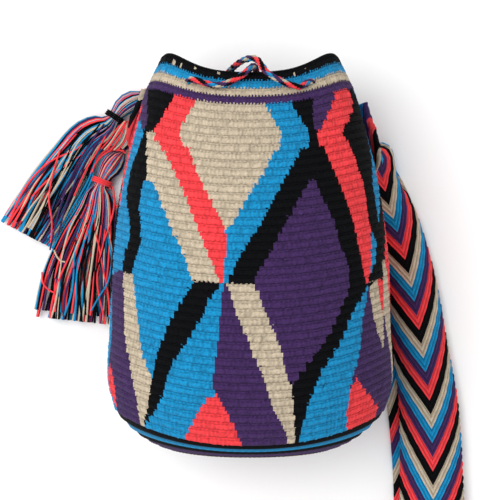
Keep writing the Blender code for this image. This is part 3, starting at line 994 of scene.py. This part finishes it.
# The drawstring's route, from the upper tassel to the lower one, in millimetres
CORD_ROUTE = (
    (-98.5, 133.2, 3.9), (-86, 138.5, 3.1), (-58, 138, 3), (-39, 139.5, 6), (-28, 142.5, 19),
    (-22, 145, 44), (-15, 147.5, 98), (-10, 150, 117), (-3, 152.5, 131), (5, 151.5, 140.5),
    (13, 141, 145.5), (21, 135.5, 146.8), (30.5, 131.5, 146), (39, 130.3, 144.3), (45, 133.8, 138.6),
    (49, 135, 129.5), (54, 135.5, 120), (67, 140.5, 102), (70, 140.5, 75), (62, 134, 58),
    (54, 129.5, 49.5), (40, 122, 43.5), (26, 115.5, 34), (13, 112.5, 28.5), (0, 111.5, 26.7),
    (-13, 112.5, 28.5), (-26, 115.5, 34), (-40, 122, 43.5), (-54, 129.5, 49.5), (-62, 134, 58),
    (-70, 140.5, 75), (-67, 140.5, 102), (-54, 135.5, 120), (-49, 135, 129.5), (-45, 136, 137.5),
    (-38.5, 134.3, 142), (-29, 131.2, 145.6), (-20, 131.5, 146.8), (-12.5, 135, 146.2),
    (-3.5, 141, 144.6), (2, 146.3, 138), (4.5, 146, 122), (5, 143.5, 70), (4, 141.5, 40), (1, 138, 15),
    (-7, 132, 5), (-20, 126, 3), (-60, 106, 2.9), (-84, 99.5, 3), (-98, 95, 3.3), (-107.6, 86.5, 3.9),
)
CORD_DIAMETER = 5.2 * MM
# How much nearer the drawstring's middle an eyelet's edge lies than the drawstring's own face
EYELET_EASE = 0.1 * MM
STRAP_WIDTH = 58.0 * MM
STRAP_THICKNESS = 5.0 * MM
STRAP_SEATS = (((41.0, 0.7), (39.5, 1.0), (37.5, 2.6)), ((43.0, 1.0), (41.5, 1.9), (39.5, 3.9)))
STRAP_END_CURL = 0.2
STRAP_END_ANGLES = (119.0, -126.0)
LEAST_CURL = 0.02
# How high the band's woven yarns stand
RIDGE = 0.55 * MM
# Between its sewn ends: the band's middle in millimetres, its width's direction, and its curl
STRAP_ROUTE = (
    ((106.5, 80, 37.5), (-50, 0, 84), 0.6),
    ((108.5, 66, 31.5), (-86, 0, 46), 1.4), ((113.5, 46, 28.5), (-94, 0, 28), 1.4),
    ((121, 25, 26), (-100, 0, 5), 1.45), ((133.5, -22, 26), (-100, 0, 0), 1.4),
    ((143.5, -80, 25.5), (-100, 0, 0), 1.35), ((150.5, -130, 24), (-100, 0, 0), 1.15),
    ((153, -201, 21), (-100, 0, 0), 0.85), ((153.5, -262, 17.5), (-100, 0, 0), 0.5),
    ((153, -310, 16), (-100, 0, 0), 0.12), ((152.5, -334, 12), (-100, 0, 0), 0.02),
    ((152, -341, 7.8), (-100, 0, 0), 0.02), ((151.5, -332, 3.6), (-100, 0, 0), 0.02),
    ((151, -308, 2.8), (-100, 0, 0), 0.02), ((150.5, -200, 2.8), (-100, 0, 0), 0.02),
    ((146.5, -140, 2.8), (-100, -9, 0), 0.02), ((141, -100, 2.8), (-100, -16, 0), 0.02),
    ((130, -40, 2.8), (-98, -21, 0), 0.02), ((119.5, 2, 2.8), (-97, -25, 0), 0.02),
    ((105.5, 44, 3.2), (-90, -43, 0), 0.02), ((82, 77, 6.3), (-50, -86, 0), 0.02),
    ((45, 93, 8.9), (-10, -99, 0), 0.02),
    ((5, 96, 8.9), (0, -100, 0), 0.02), ((-30, 94, 9.2), (4, -99, 2), 0.05),
    ((-58, 93, 13), (2, -98, 12), 0.1), ((-69, 97, 24), (-52, -66, 46), 0.12),
)
# Each tassel's stations: the middle, half-width and half-height, in millimetres
UPPER_TASSEL = (
    ((-92, 133, 8), 6.0, 5.5), ((-98, 130.5, 9), 9.0, 8.4), ((-104, 127, 9.4), 9.4, 9.0),
    ((-108.8, 122.8, 10), 8.2, 7.4), ((-110.5, 120.5, 10.2), 7.0, 6.0), ((-117.5, 110.9, 10.2), 7.0, 6.0),
    ((-121, 107.8, 9.6), 12.5, 8.6), ((-136.3, 99, 9.1), 17.0, 8.8), ((-153, 79.5, 8.7), 17.5, 8.4),
    ((-171, 53, 7.7), 20.0, 7.4), ((-190, 17.5, 6.5), 24.5, 6.2),
)
LOWER_TASSEL = (
    ((-108, 86, 3.9), 3.6, 3.6), ((-111.3, 82.5, 7.9), 8.2, 7.4), ((-116, 76, 9.7), 10.4, 9.4),
    ((-120.5, 69.5, 10), 9.0, 8.0), ((-122.5, 66.5, 10.2), 7.0, 6.0), ((-127, 56, 10.2), 7.0, 6.0),
    ((-127.5, 52, 9.4), 12.0, 8.4), ((-129.5, 36, 9.1), 18.0, 8.8), ((-135.5, 10, 8.9), 26.5, 8.6),
    ((-141, -20, 7.9), 34.0, 7.6), ((-145, -56, 6.5), 37.5, 6.2),
)
# Loose yarns: the yarn, its height in millimetres and its pixels in the photo
UPPER_STRAYS = (
    (Yarn.CORAL, 17.5, ((60, 150), (52, 178), (49, 200), (52, 222), (51, 243))),
    (Yarn.BEIGE, 17.0, ((58, 160), (44, 190), (31, 207), (22, 221))),
    (Yarn.PURPLE, 18.0, ((104, 124), (86, 150), (70, 180), (58, 215), (50, 250))),
    (Yarn.BLACK, 17.5, ((100, 124), (80, 150), (66, 176), (52, 212))),
    (Yarn.PURPLE, 16.5, ((108, 126), (94, 148), (80, 172), (68, 200), (58, 235))),
    (Yarn.CORAL, 16.0, ((110, 127), (98, 150), (86, 170), (74, 196))),
)
LOWER_STRAYS = (
    (Yarn.CORAL, 13.0, ((125, 121), (116, 130), (108, 141), (101, 149))),
    (Yarn.BEIGE, 14.0, ((125, 121), (118, 131), (111, 142), (104, 150))),
    (Yarn.CORAL, 14.5, ((126, 121), (121, 130), (114, 140), (107, 150))),
    (Yarn.CORAL, 15.0, ((126, 121), (123, 131), (117, 142), (110, 151))),
    (Yarn.BEIGE, 14.0, ((126, 121), (126, 131), (122, 142), (114, 150))),
    (Yarn.CORAL, 13.0, ((127, 121), (128, 130), (125, 141), (118, 150))),
    (Yarn.BEIGE, 12.0, ((127, 121), (130, 131), (129, 141), (122, 149))),
    (Yarn.BLACK, 9.5, ((126, 121), (120, 132), (112, 143), (105, 152))),
    (Yarn.PURPLE, 10.0, ((127, 121), (127, 134), (120, 146), (112, 153))),
    (Yarn.CORAL, 13.0, ((124, 151), (113, 150), (103, 155), (96, 163), (92, 172))),
    (Yarn.CORAL, 11.0, ((126, 153), (113, 148), (101, 154), (94, 164), (90, 174))),
    (Yarn.PURPLE, 9.0, ((125, 150), (111, 147), (100, 152), (92, 163), (88, 176))),
    (Yarn.CORAL, 18.5, ((113, 186), (114, 195), (114, 207), (110, 224), (104, 241))),
    (Yarn.CORAL, 17.5, ((117, 205), (120, 219), (125, 240), (121, 256), (112, 271))),
    (Yarn.CORAL, 15.0, ((115, 262), (117, 272), (121, 288), (116, 311))),
    (Yarn.BLUE, 17.0, ((112, 262), (108, 282), (99, 297), (91, 311))),
    (Yarn.BEIGE, 16.0, ((54, 250), (57, 257), (61, 261), (65, 262))),
    (Yarn.CORAL, 14.0, ((42, 272), (43, 283), (49, 290), (55, 293))),
)
# The neck's two stations
NECK = (4, 5)
TASSEL_YARN = 2.0 * MM
WRAP_YARN = 1.5 * MM
WRAP_GAP = 0.3 * MM
WRAP_EASE = 1.02
# Along a yarn, from the tassel's head to its cut end: how loose it is, how much of the skirt's
# spread it takes, and its radius
LOOSENESS: Knots = ((0.0, 0.0), (0.42, 0.0), (0.6, 0.6), (1.0, 1.0))
SPREADING: Knots = ((0.0, 0.0), (0.38, 0.0), (0.55, 1.0), (0.8, 0.8), (1.0, 0.1))
FULLNESS: Knots = ((0.0, 0.55), (0.3, 0.62), (0.45, 0.8), (1.0, 1.0))


def dense_route(points: np.ndarray, step: float) -> np.ndarray:
    """The smooth line through points, at even steps.

    Args:
        points: The route's points.
        step: How far apart the line's points stand.
    Returns:
        The line's points.
    """
    along = distances(points)
    return smooth_vectors(along, points, np.linspace(0.0, along[-1], max(2, round(along[-1] / step))))


def carried_frames(points: np.ndarray) -> tuple[np.ndarray, np.ndarray]:
    """Two directions across a line that don't twist round it.

    Args:
        points: The line's points.
    Returns:
        The two directions at each point.
    """
    ahead = unit(np.gradient(points, axis=0))
    side = np.cross(ahead[0], (0.0, 0.0, 1.0))
    sides = []
    for direction in ahead:
        side = unit(side - direction * np.dot(side, direction))
        sides.append(side)
    sides = np.array(sides)
    return sides, np.cross(ahead, sides)


@dataclass
class Drawstring:
    """The braided drawstring.

    Attributes:
        route: Its points in the frame, in metres.
        strands: How many grid lines go round it, four to a pair of strands.
        step: How long each of the braid's faces is.
        swell: How far a strand stands over its neighbours, as a share of the radius.
        lay_share: How far a strand goes round in one face, as a share of a grid line.
        yarns: The colours of the strands that turn one way, then of those that turn the other.
    """

    route: np.ndarray = field(default_factory=lambda: np.array(CORD_ROUTE, float) * MM)
    strands: int = 16
    step: float = 1.0 * MM
    swell: float = 0.2
    lay_share: float = 0.5
    yarns: tuple[Yarn, ...] = (
        Yarn.BLACK, Yarn.CORAL, Yarn.PURPLE, Yarn.BEIGE, Yarn.BLACK, Yarn.BLUE, Yarn.PURPLE, Yarn.CORAL,
    )

    def line(self) -> np.ndarray:
        """The middle line at even steps."""
        return dense_route(self.route, self.step)

    def build(self, shop: MaterialShop) -> bpy.types.Object:
        """Makes the braid.

        Args:
            shop: Where the yarns' materials come from.
        Returns:
            The piece.
        """
        line = self.line()
        side, up = carried_frames(line)
        turns = np.arange(self.strands + 1) / self.strands * 2 * np.pi
        rows, columns = np.arange(len(line))[:, None], np.arange(self.strands + 1)[None, :]
        lay = self.lay_share * rows
        crossing = np.abs(np.sin((lay + columns) * np.pi / 4)) * np.abs(np.sin((lay - columns) * np.pi / 4))
        radius = CORD_DIAMETER / 2 * (1 - self.swell + 1.5 * self.swell * crossing)
        around = side[:, None] * np.cos(turns)[None, :, None] + up[:, None] * np.sin(turns)[None, :, None]
        points = line[:, None] + around * radius[..., None]
        points[..., 2] = np.maximum(points[..., 2], FLOOR_GAP)
        face_rows, face_columns = rows[:-1], columns[:, :-1]
        one_way = np.floor((self.lay_share * face_rows + face_columns) / 4).astype(int)
        other_way = np.floor((self.lay_share * face_rows - face_columns) / 4).astype(int)
        over = (one_way + other_way) % 2 == 0
        strand = np.where(over, one_way % 4, 4 + other_way % 4)
        yarns = np.array(self.yarns, int)[strand]
        # The crossings' relief also paints shade where the strands dip between each other.
        obj = mesh_object("braided_drawstring", [Patch(points, yarns, crossing.clip(0, 1))])
        shop.dress(obj, BRAID)
        place_piece(obj, "braided_cord", "drawstring")
        return obj

    def declare(self) -> None:
        """Works out the drawstring's middle line, and nothing more.
        """
        line = self.line()


@dataclass
class StrapForm:
    """The band's lay: its middle, width, outward direction and curl along its length.

    Attributes:
        form: The wall that its ends are sewn to.
        samples: How many places along it are worked out.
    """

    form: WallForm
    samples: int = 1206

    def stations(self) -> tuple[np.ndarray, np.ndarray, np.ndarray]:
        """The stations from the right sewn end to the left.

        Returns:
            Their middles, width directions and curls.
        """
        rows = self.sewn(STRAP_END_ANGLES[0], STRAP_SEATS[0])
        rows += [(np.array(m) * MM, unit(np.array(w, float)), curl) for m, w, curl in STRAP_ROUTE]
        rows += self.sewn(STRAP_END_ANGLES[1], STRAP_SEATS[1])[::-1]
        middles, widths, curls = zip(*rows)
        return np.array(middles), np.array(widths), np.array(curls)

    def sewn(self, degrees: float, seats: Sequence[tuple[float, float]]) -> list[tuple]:
        """The stations where an end lies against the wall, from its sewn edge to where it leaves.

        Args:
            degrees: The end's place round the wall from the front.
            seats: Rows of the wall, with the band's gap from it at each in millimetres.
        Returns:
            A middle, a width direction and a curl for each seat.
        """
        angle, found = np.radians(degrees), []
        for row, gap in seats:
            stand_off = np.array(STRAP_THICKNESS / 2 + RIDGE + gap * MM)
            place = np.array(angle), np.array(row), WallForm.ROW_STEP
            middle = self.form.offset(self.form.wall, *place, stand_off)
            step = WallForm.TURN_STEP
            width = self.form.wall(angle - step, row) - self.form.wall(angle + step, row)
            found.append((middle, unit(width) * np.sign(degrees), STRAP_END_CURL))
        return found

    def frames(self) -> tuple[np.ndarray, np.ndarray, np.ndarray, np.ndarray, np.ndarray]:
        """How the band lies at even distances.

        Returns:
            The distances, middles, width directions, outward directions and curls.
        """
        middles, widths, curls = self.stations()
        along = distances(middles)
        at = np.linspace(0.0, along[-1], self.samples)
        line = smooth_vectors(along, middles, at)
        ahead = unit(np.gradient(line, axis=0))
        across = smooth_vectors(along, widths, at)
        across = unit(across - ahead * np.sum(across * ahead, axis=1, keepdims=True))
        curl = np.maximum(smooth(list(zip(along, curls)), at), LEAST_CURL)
        return at, line, across, np.cross(across, ahead), curl


@dataclass
class WovenStrap:
    """The woven shoulder strap with its five-colour chevrons.

    Attributes:
        lay: Where the band runs.
        stripe: One colour's length along the band's middle.
        rise: How far the chevrons' arms run along the band over half its width.
        apex_y: Where a beige chevron's point stands on the upper layer.
        ribs: How many yarns each colour has.
        face_columns: How many faces go across the band.
        face_share: How far across the band's flat face reaches, as a share of its half width.
        edge_share: Where the rounded edge turns, as a share of the half thickness.
        rib_height: How high a yarn stands.
        rib_section: A yarn's three heights, as shares of rib_height.
        ply: How far the yarns' plies stand out, as a share of rib_height.
        fade: How far from its ends the band's relief begins.
        yarns: The chevrons' colours, in order along the band.
    """

    lay: StrapForm
    stripe: float = 11.9 * MM
    rise: float = 58.0 * MM
    apex_y: float = -79.0 * MM
    ribs: int = 2
    face_columns: int = 32
    face_share: float = 0.97
    edge_share: float = 0.45
    rib_height: float = 0.65 * MM
    rib_section: tuple[float, float, float] = (-0.5, 1.0, 0.8)
    ply: float = 0.5
    fade: float = 4.0 * MM
    yarns: tuple[Yarn, ...] = (Yarn.BEIGE, Yarn.BLUE, Yarn.PURPLE, Yarn.CORAL, Yarn.BLACK)

    def build(self, shop: MaterialShop) -> bpy.types.Object:
        """Args:
            shop: Where the yarns' materials come from.
        Returns:
            The piece.
        """
        at, line, across, outward, curl = self.lay.frames()
        points_a_rib = len(self.rib_section)
        step = self.stripe / self.ribs / points_a_rib
        face = np.linspace(-self.face_share, self.face_share, self.face_columns + 1)
        sides = np.concatenate([face, [1.0, 1.0], face[::-1], [-1.0, -1.0], face[:1]])
        flat, edge = np.ones(self.face_columns + 1), np.array([self.edge_share, -self.edge_share])
        heights = np.concatenate([flat, edge, -flat, -edge, flat[:1]])
        rows = np.arange(int((at[-1] + self.rise) / step) + 2)
        ridge = np.array(self.rib_section)[rows % points_a_rib][:, None]
        along = np.clip((rows * step)[:, None] - self.rise * np.abs(sides)[None, :], 0.0, at[-1])
        turn = np.arange(len(sides)) * np.pi / 1.5 + (rows // points_a_rib)[:, None] * np.pi
        ply = self.ply * np.sin(turn)
        fade = np.minimum(along, at[-1] - along).clip(0.0, self.fade) / self.fade
        relief = (ridge + ply * (ridge > 0)) * (np.abs(heights) > 0.9) * fade
        out = heights[None, :] * (STRAP_THICKNESS / 2 - self.rib_height * 0.3) * np.ones_like(along)
        out = out + np.sign(heights)[None, :] * relief * self.rib_height
        points = self.band_points(at, line, across, outward, curl, along, sides, out)
        points[..., 2] = np.maximum(points[..., 2], FLOOR_GAP)
        upper = np.argmin(np.abs(line[: self.lay.samples // 2, 1] - self.apex_y))
        colour = np.floor((rows[:-1] * step - at[upper]) / self.stripe + 0.5).astype(int) % len(self.yarns)
        yarns = np.array(self.yarns, int)[colour][:, None].repeat(len(sides) - 1, axis=1)
        # The ribs' relief also paints shade in the weave's hollows.
        patch = Patch(points[:, ::-1], yarns, ((relief + 0.5) / 1.6).clip(0, 1)[:, ::-1])
        obj = mesh_object("woven_strap", [patch], self.flat_faces, closed=True)
        shop.dress(obj, WEAVE)
        place_piece(obj, "woven_strap", "shoulder_strap")
        return obj

    def band_points(
        self,
        at: np.ndarray,
        line: np.ndarray,
        across: np.ndarray,
        outward: np.ndarray,
        curl: np.ndarray,
        along: np.ndarray,
        sides: np.ndarray,
        out: np.ndarray,
    ) -> np.ndarray:
        """Points off the curled band.

        Args:
            at: The frames' distances along the band, then their middles, widths, outward
                directions and curls.
            along: Each point's distance along the band.
            sides: Each column's place across, from -1 to 1.
            out: How far each point stands off the band's middle.
        Returns:
            The points, by row and column.
        """

        def read(values: np.ndarray) -> np.ndarray:
            """Vectors at each point's distance along."""
            return np.stack([np.interp(along, at, axis) for axis in values.T], axis=-1)

        bend = np.interp(along, at, curl)
        radius = STRAP_WIDTH / 2 / bend
        turn = bend * sides[None, :]
        width, up = unit(read(across)), unit(read(outward))
        around = width * np.sin(turn)[..., None] + up * np.cos(turn)[..., None]
        return read(line) - up * radius[..., None] + around * (radius + out)[..., None]

    @staticmethod
    def flat_faces(bm: bmesh.types.BMesh) -> list:
        """The faces without area, where the chevrons run past the band's ends."""
        return [f for f in bm.faces if f.calc_area() < 1e-10]


@dataclass
class Tassel:
    """One tassel of loose yarns, wound at its neck.

    Attributes:
        name: Which tassel it is.
        stations: Its middles, half-widths and half-heights, in millimetres.
        wrap_yarn: The yarn wound round its neck.
        wrap_slot: The record's material slot of that yarn.
        outer: How many yarns lie round its outside.
        inner: How many yarns fill it.
        inner_depth: How far out the inner ones lie, as a share.
        seed: What its yarns' wandering starts from.
        samples: How many points a yarn has.
        shares: Each yarn colour's share, in the order of Yarn.
        spread: How much wider its skirt's middle is, to the one side and to the other.
        strays: Loose yarns, each with its colour, height and pixels.
        stray_radius: A loose yarn's radius, as a share of the others'.
        sway: How far a yarn turns aside towards its end, in radians.
        ripple: How far it waves along its way, in radians.
        astray: The share of yarns that turn far aside.
        far_turn: How far those turn, in radians.
        slack: How far a yarn's depth wanders.
        turns: How often the neck's yarn is wound.
        turn_points: How many points a winding has.
        pitch: How far a winding moves along the neck.
    """

    name: str
    stations: Sequence
    wrap_yarn: Yarn
    wrap_slot: str
    outer: int = 84
    inner: int = 40
    inner_depth: float = 0.55
    seed: int = 3
    samples: int = 26
    shares: tuple[float, ...] = (0.28, 0.21, 0.13, 0.19, 0.19)
    spread: tuple[float, float] = (0.0, 0.0)
    strays: Sequence = ()
    stray_radius: float = 0.75
    sway: float = 0.16
    ripple: float = 0.07
    astray: float = 0.08
    far_turn: float = 0.7
    slack: float = 0.05
    turns: int = 3
    turn_points: int = 24
    pitch: float = 1.6 * MM

    def frames(self) -> tuple[np.ndarray, np.ndarray, np.ndarray, np.ndarray]:
        """How the tassel lies along its length.

        Returns:
            Its middles, sideways directions, half-widths and half-heights.
        """
        middles = np.array([station[0] for station in self.stations], float) * MM
        along = distances(middles)
        at = np.linspace(0.0, along[-1], self.samples)
        line = smooth_vectors(along, middles, at)
        ahead = np.gradient(line, axis=0)
        sideways = unit(np.column_stack([-ahead[:, 1], ahead[:, 0], np.zeros(len(at))]))
        wide = smooth(list(zip(along, [s[1] for s in self.stations])), at) * MM
        high = smooth(list(zip(along, [s[2] for s in self.stations])), at) * MM
        return line, sideways, wide, high

    def strand(self, place: float, depth: float, rng: np.random.Generator) -> tuple[np.ndarray, np.ndarray]:
        """One yarn's points and radii.

        Args:
            place: Its turn round the tassel, in radians.
            depth: How near the outside it lies, up to 1.
            rng: The wandering's numbers.
        Returns:
            The points and the radius shares.
        """
        line, sideways, wide, high = self.frames()
        share = np.linspace(0.0, 1.0, self.samples)
        loose = smooth(LOOSENESS, share)
        drift = rng.normal(0, self.sway) * loose
        drift = drift + rng.normal(0, self.ripple) * np.sin(share * 9 + rng.uniform(0, 6))
        if rng.random() < self.astray:
            drift = drift + rng.choice((-self.far_turn, self.far_turn)) * loose
        turn = place + drift
        slack = depth * (1 + rng.normal(0, self.slack) * loose)
        wide_in, high_in = wide - TASSEL_YARN / 2, high - TASSEL_YARN / 2
        wide_in = wide_in * (1 + smooth(SPREADING, share) * self.spread[0 if math.cos(place) > 0 else 1])
        points = line + sideways * (wide_in * slack * np.cos(turn))[:, None]
        points[:, 2] += high_in * slack * np.sin(turn)
        points[:, 2] = np.maximum(points[:, 2], TASSEL_YARN / 2 + 2 * FLOOR_GAP)
        keep = self.samples - int(rng.integers(0, 2))
        return points[:keep], smooth(FULLNESS, share)[:keep]

    def build(self, shop: MaterialShop) -> tuple[bpy.types.Object, bpy.types.Object]:
        """Makes the yarns and the wrap.

        Args:
            shop: Where the yarns' materials come from.
        Returns:
            The yarns' piece and the wrap.
        """
        rng = np.random.default_rng(self.seed)
        obj = curve_object(f"{self.name}_yarn_bundle", TASSEL_YARN / 2, 1)
        shop.dress(obj, STRAND)
        for number in range(self.outer + self.inner):
            inner = number >= self.outer
            count, depth = (self.inner, self.inner_depth) if inner else (self.outer, 1.0)
            across = 2 * ((number % count) + 0.5) / count
            turn = math.acos(1 - across * 2 if across < 1 else 2 * across - 3) * (1 if across < 1 else -1)
            points, radii = self.strand(turn, depth, rng)
            add_spline(obj, points, Yarn(int(rng.choice(len(Yarn), p=self.shares))), radii)
        for yarn, height, pixels in self.strays:
            ends = np.array([from_pixel(*pixel, height * MM) for pixel in pixels])
            points = dense_route(ends, 2.5 * MM)
            points[:, 2] += rng.normal(0.0, 0.4 * MM)
            add_spline(obj, points, yarn, np.full(len(points), self.stray_radius))
        place_piece(obj, "tassel_yarn", f"{self.name}_yarns")
        return obj, self.wrap(shop)

    def wrap(self, shop: MaterialShop) -> bpy.types.Object:
        """Makes the yarn wound round the neck.

        Args:
            shop: Where the yarns' materials come from.
        Returns:
            The piece.
        """
        start, end = (np.array(self.stations[k][0], float) * MM for k in NECK)
        wide, high = (self.stations[NECK[0]][k] * MM + WRAP_YARN / 2 + WRAP_GAP for k in (1, 2))
        ahead = unit(end - start)
        sideways = np.array((-ahead[1], ahead[0], 0.0))
        wound = np.linspace(0.0, self.turns, self.turns * self.turn_points + 1)
        turn = wound * 2 * np.pi
        points = (start + end) / 2 + ahead * ((wound - self.turns / 2) * self.pitch)[:, None]
        points = points + sideways * (wide * np.cos(turn) * WRAP_EASE)[:, None]
        points[:, 2] += high * np.sin(turn) * WRAP_EASE
        obj = curve_object(f"{self.name}_neck_wrap", WRAP_YARN / 2, 3)
        shop.dress(obj, STRAND)
        add_spline(obj, points, self.wrap_yarn)
        place_piece(obj, self.wrap_slot, f"{self.name}_wrap")
        return obj


@dataclass
class StrapSeam:
    """The zigzag of yarn that sews an end of the strap to the wall.

    Attributes:
        name: Which seam it is.
        lay: Where the band runs.
        at_start: Whether it sews the band's first end.
        stitches: How many points the zigzag has.
        yarn: The yarn's diameter.
        inset: How far from the band's end the zigzag starts.
        depth: How far along the band it reaches.
        span: How much of the band's width it takes.
        gap: How far the yarn stands off the band.
    """

    name: str
    lay: StrapForm
    at_start: bool
    stitches: int = 13
    yarn: float = 2.0 * MM
    inset: float = 2.0 * MM
    depth: float = 5.5 * MM
    span: float = 0.72
    gap: float = 0.4 * MM

    def build(self, shop: MaterialShop) -> bpy.types.Object:
        """Makes the zigzag.

        Args:
            shop: Where the yarn's material comes from.
        Returns:
            The piece.
        """
        at, line, across, outward, curl = self.lay.frames()
        points = []
        for k in range(self.stitches):
            reach = self.inset + (self.depth if k % 2 else 0.0)
            place = int(np.argmin(np.abs(at - (reach if self.at_start else at[-1] - reach))))
            radius = STRAP_WIDTH / 2 / curl[place]
            turn = curl[place] * self.span * (2 * k / (self.stitches - 1) - 1)
            around = across[place] * math.sin(turn) + outward[place] * math.cos(turn)
            stand_off = radius + STRAP_THICKNESS / 2 + self.yarn / 2 + self.gap
            points.append(line[place] - outward[place] * radius + around * stand_off)
        obj = curve_object(f"{self.name}_stitches", self.yarn / 2, 3)
        shop.dress(obj, STRAND)
        add_spline(obj, np.array(points), Yarn.BEIGE)
        place_piece(obj, "seam_yarn", self.name)
        return obj


@dataclass
class Studio:
    """The camera, the floor and the light.

    Attributes:
        floor_side: How wide the floor is, in metres.
        floor_colour: Its sRGB colour.
        sky_strength: How bright the plain sky is.
        lamp_power: The lamp's power, in watts.
        lamp_size: The lamp's diameter.
        lamp_place: Where it hangs.
    """

    floor_side: float = 6.0
    floor_colour: str = "#FFFFFF"
    sky_strength: float = 0.82
    lamp_power: float = 26.0
    lamp_size: float = 1.6
    lamp_place: tuple[float, float, float] = (-0.9, 0.25, 1.9)

    def camera(self) -> bpy.types.Object:
        """Makes the camera at the photo's angle.

        Returns:
            The camera.
        """
        data = bpy.data.cameras.new("camera")
        data.lens = CAMERA_LENS
        data.sensor_width = CAMERA_SENSOR
        data.clip_start, data.clip_end = 0.05, 50.0
        obj = bpy.data.objects.new("camera", data)
        obj.location = (0.0, CAMERA_Y, CAMERA_HEIGHT)
        bpy.context.scene.collection.objects.link(obj)
        bpy.context.scene.camera = obj
        return obj

    def floor(self) -> bpy.types.Object:
        """Makes the pale floor.

        Returns:
            The floor.
        """
        bm = bmesh.new()
        bmesh.ops.create_grid(bm, x_segments=1, y_segments=1, size=self.floor_side / 2)
        mesh = bpy.data.meshes.new("floor")
        bm.to_mesh(mesh)
        bm.free()
        obj = bpy.data.objects.new("floor", mesh)
        material = bpy.data.materials.new("floor_paper")
        material.use_nodes = True
        tree = material.node_tree
        shader = tree.nodes["Principled BSDF"]
        place = add_node(tree, "ShaderNodeTexCoord").outputs["Object"]
        tooth = add_node(tree, "ShaderNodeTexNoise", {"Scale": 900.0, "Detail": 2.0}, {"Vector": place})
        bump = add_node(
            tree, "ShaderNodeBump", {"Strength": 0.1, "Distance": 0.05 * MM}, {"Height": tooth.outputs["Fac"]}
        )
        tree.links.new(bump.outputs["Normal"], shader.inputs["Normal"])
        shader.inputs["Base Color"].default_value = linear(self.floor_colour)
        shader.inputs["Roughness"].default_value = 1.0
        shader.inputs["Specular IOR Level"].default_value = 0.0
        mesh.materials.append(material)
        bpy.context.scene.collection.objects.link(obj)
        return obj

    def light(self) -> None:
        """Makes the soft lamp and the plain sky."""
        data = bpy.data.lights.new("lamp", "AREA")
        data.shape = "DISK"
        data.size = self.lamp_size
        data.energy = self.lamp_power
        obj = bpy.data.objects.new("lamp", data)
        obj.location = self.lamp_place
        obj.rotation_mode = "QUATERNION"
        obj.rotation_quaternion = (-Vector(self.lamp_place)).to_track_quat("-Z", "Y")
        bpy.context.scene.collection.objects.link(obj)
        world = bpy.data.worlds.new("sky")
        bpy.context.scene.world = world
        world.use_nodes = True
        tree = world.node_tree
        sky = tree.nodes["Background"]
        sky.inputs["Color"].default_value = linear("#FFFFFF")
        sky.inputs["Strength"].default_value = self.sky_strength
        white = add_node(tree, "ShaderNodeBackground", {"Color": linear("#FFFFFF"), "Strength": 1.0})
        path = add_node(tree, "ShaderNodeLightPath")
        mix = add_node(
            tree,
            "ShaderNodeMixShader",
            {},
            {0: path.outputs["Is Camera Ray"], 1: sky.outputs["Background"], 2: white.outputs["Background"]},
        )
        tree.links.new(mix.outputs["Shader"], tree.nodes["World Output"].inputs["Surface"])

    def look(self) -> None:
        """Shows the colours as they are."""
        bpy.context.scene.view_settings.view_transform = "Standard"


def main() -> None:
    """Builds the picture: camera and cord first, then the bag, strap, tassels, seams and light."""
    studio = Studio()
    studio.camera()
    shop = MaterialShop()
    drawstring = Drawstring()
    cord = drawstring.build(shop)
    form = WallForm()
    CrochetBody(form).build(shop, drawstring.line(), CORD_DIAMETER / 2 - EYELET_EASE)
    lay = StrapForm(form)
    WovenStrap(lay).build(shop)
    upper = Tassel("upper_tassel", UPPER_TASSEL, Yarn.BLACK, "black_yarn", seed=5, spread=(0.5, 0.0))
    upper.strays = UPPER_STRAYS
    lower = Tassel("lower_tassel", LOWER_TASSEL, Yarn.CORAL, "coral_yarn", seed=8, spread=(0.05, 0.0))
    lower.strays = LOWER_STRAYS
    upper_wrap, lower_wrap = upper.build(shop)[1], lower.build(shop)[1]
    drawstring.declare()
    StrapSeam("strap_seam_right", lay, True).build(shop)
    StrapSeam("strap_seam_left", lay, False).build(shop)
    studio.floor()
    studio.light()
    studio.look()


if __name__ == "__main__":
    main()
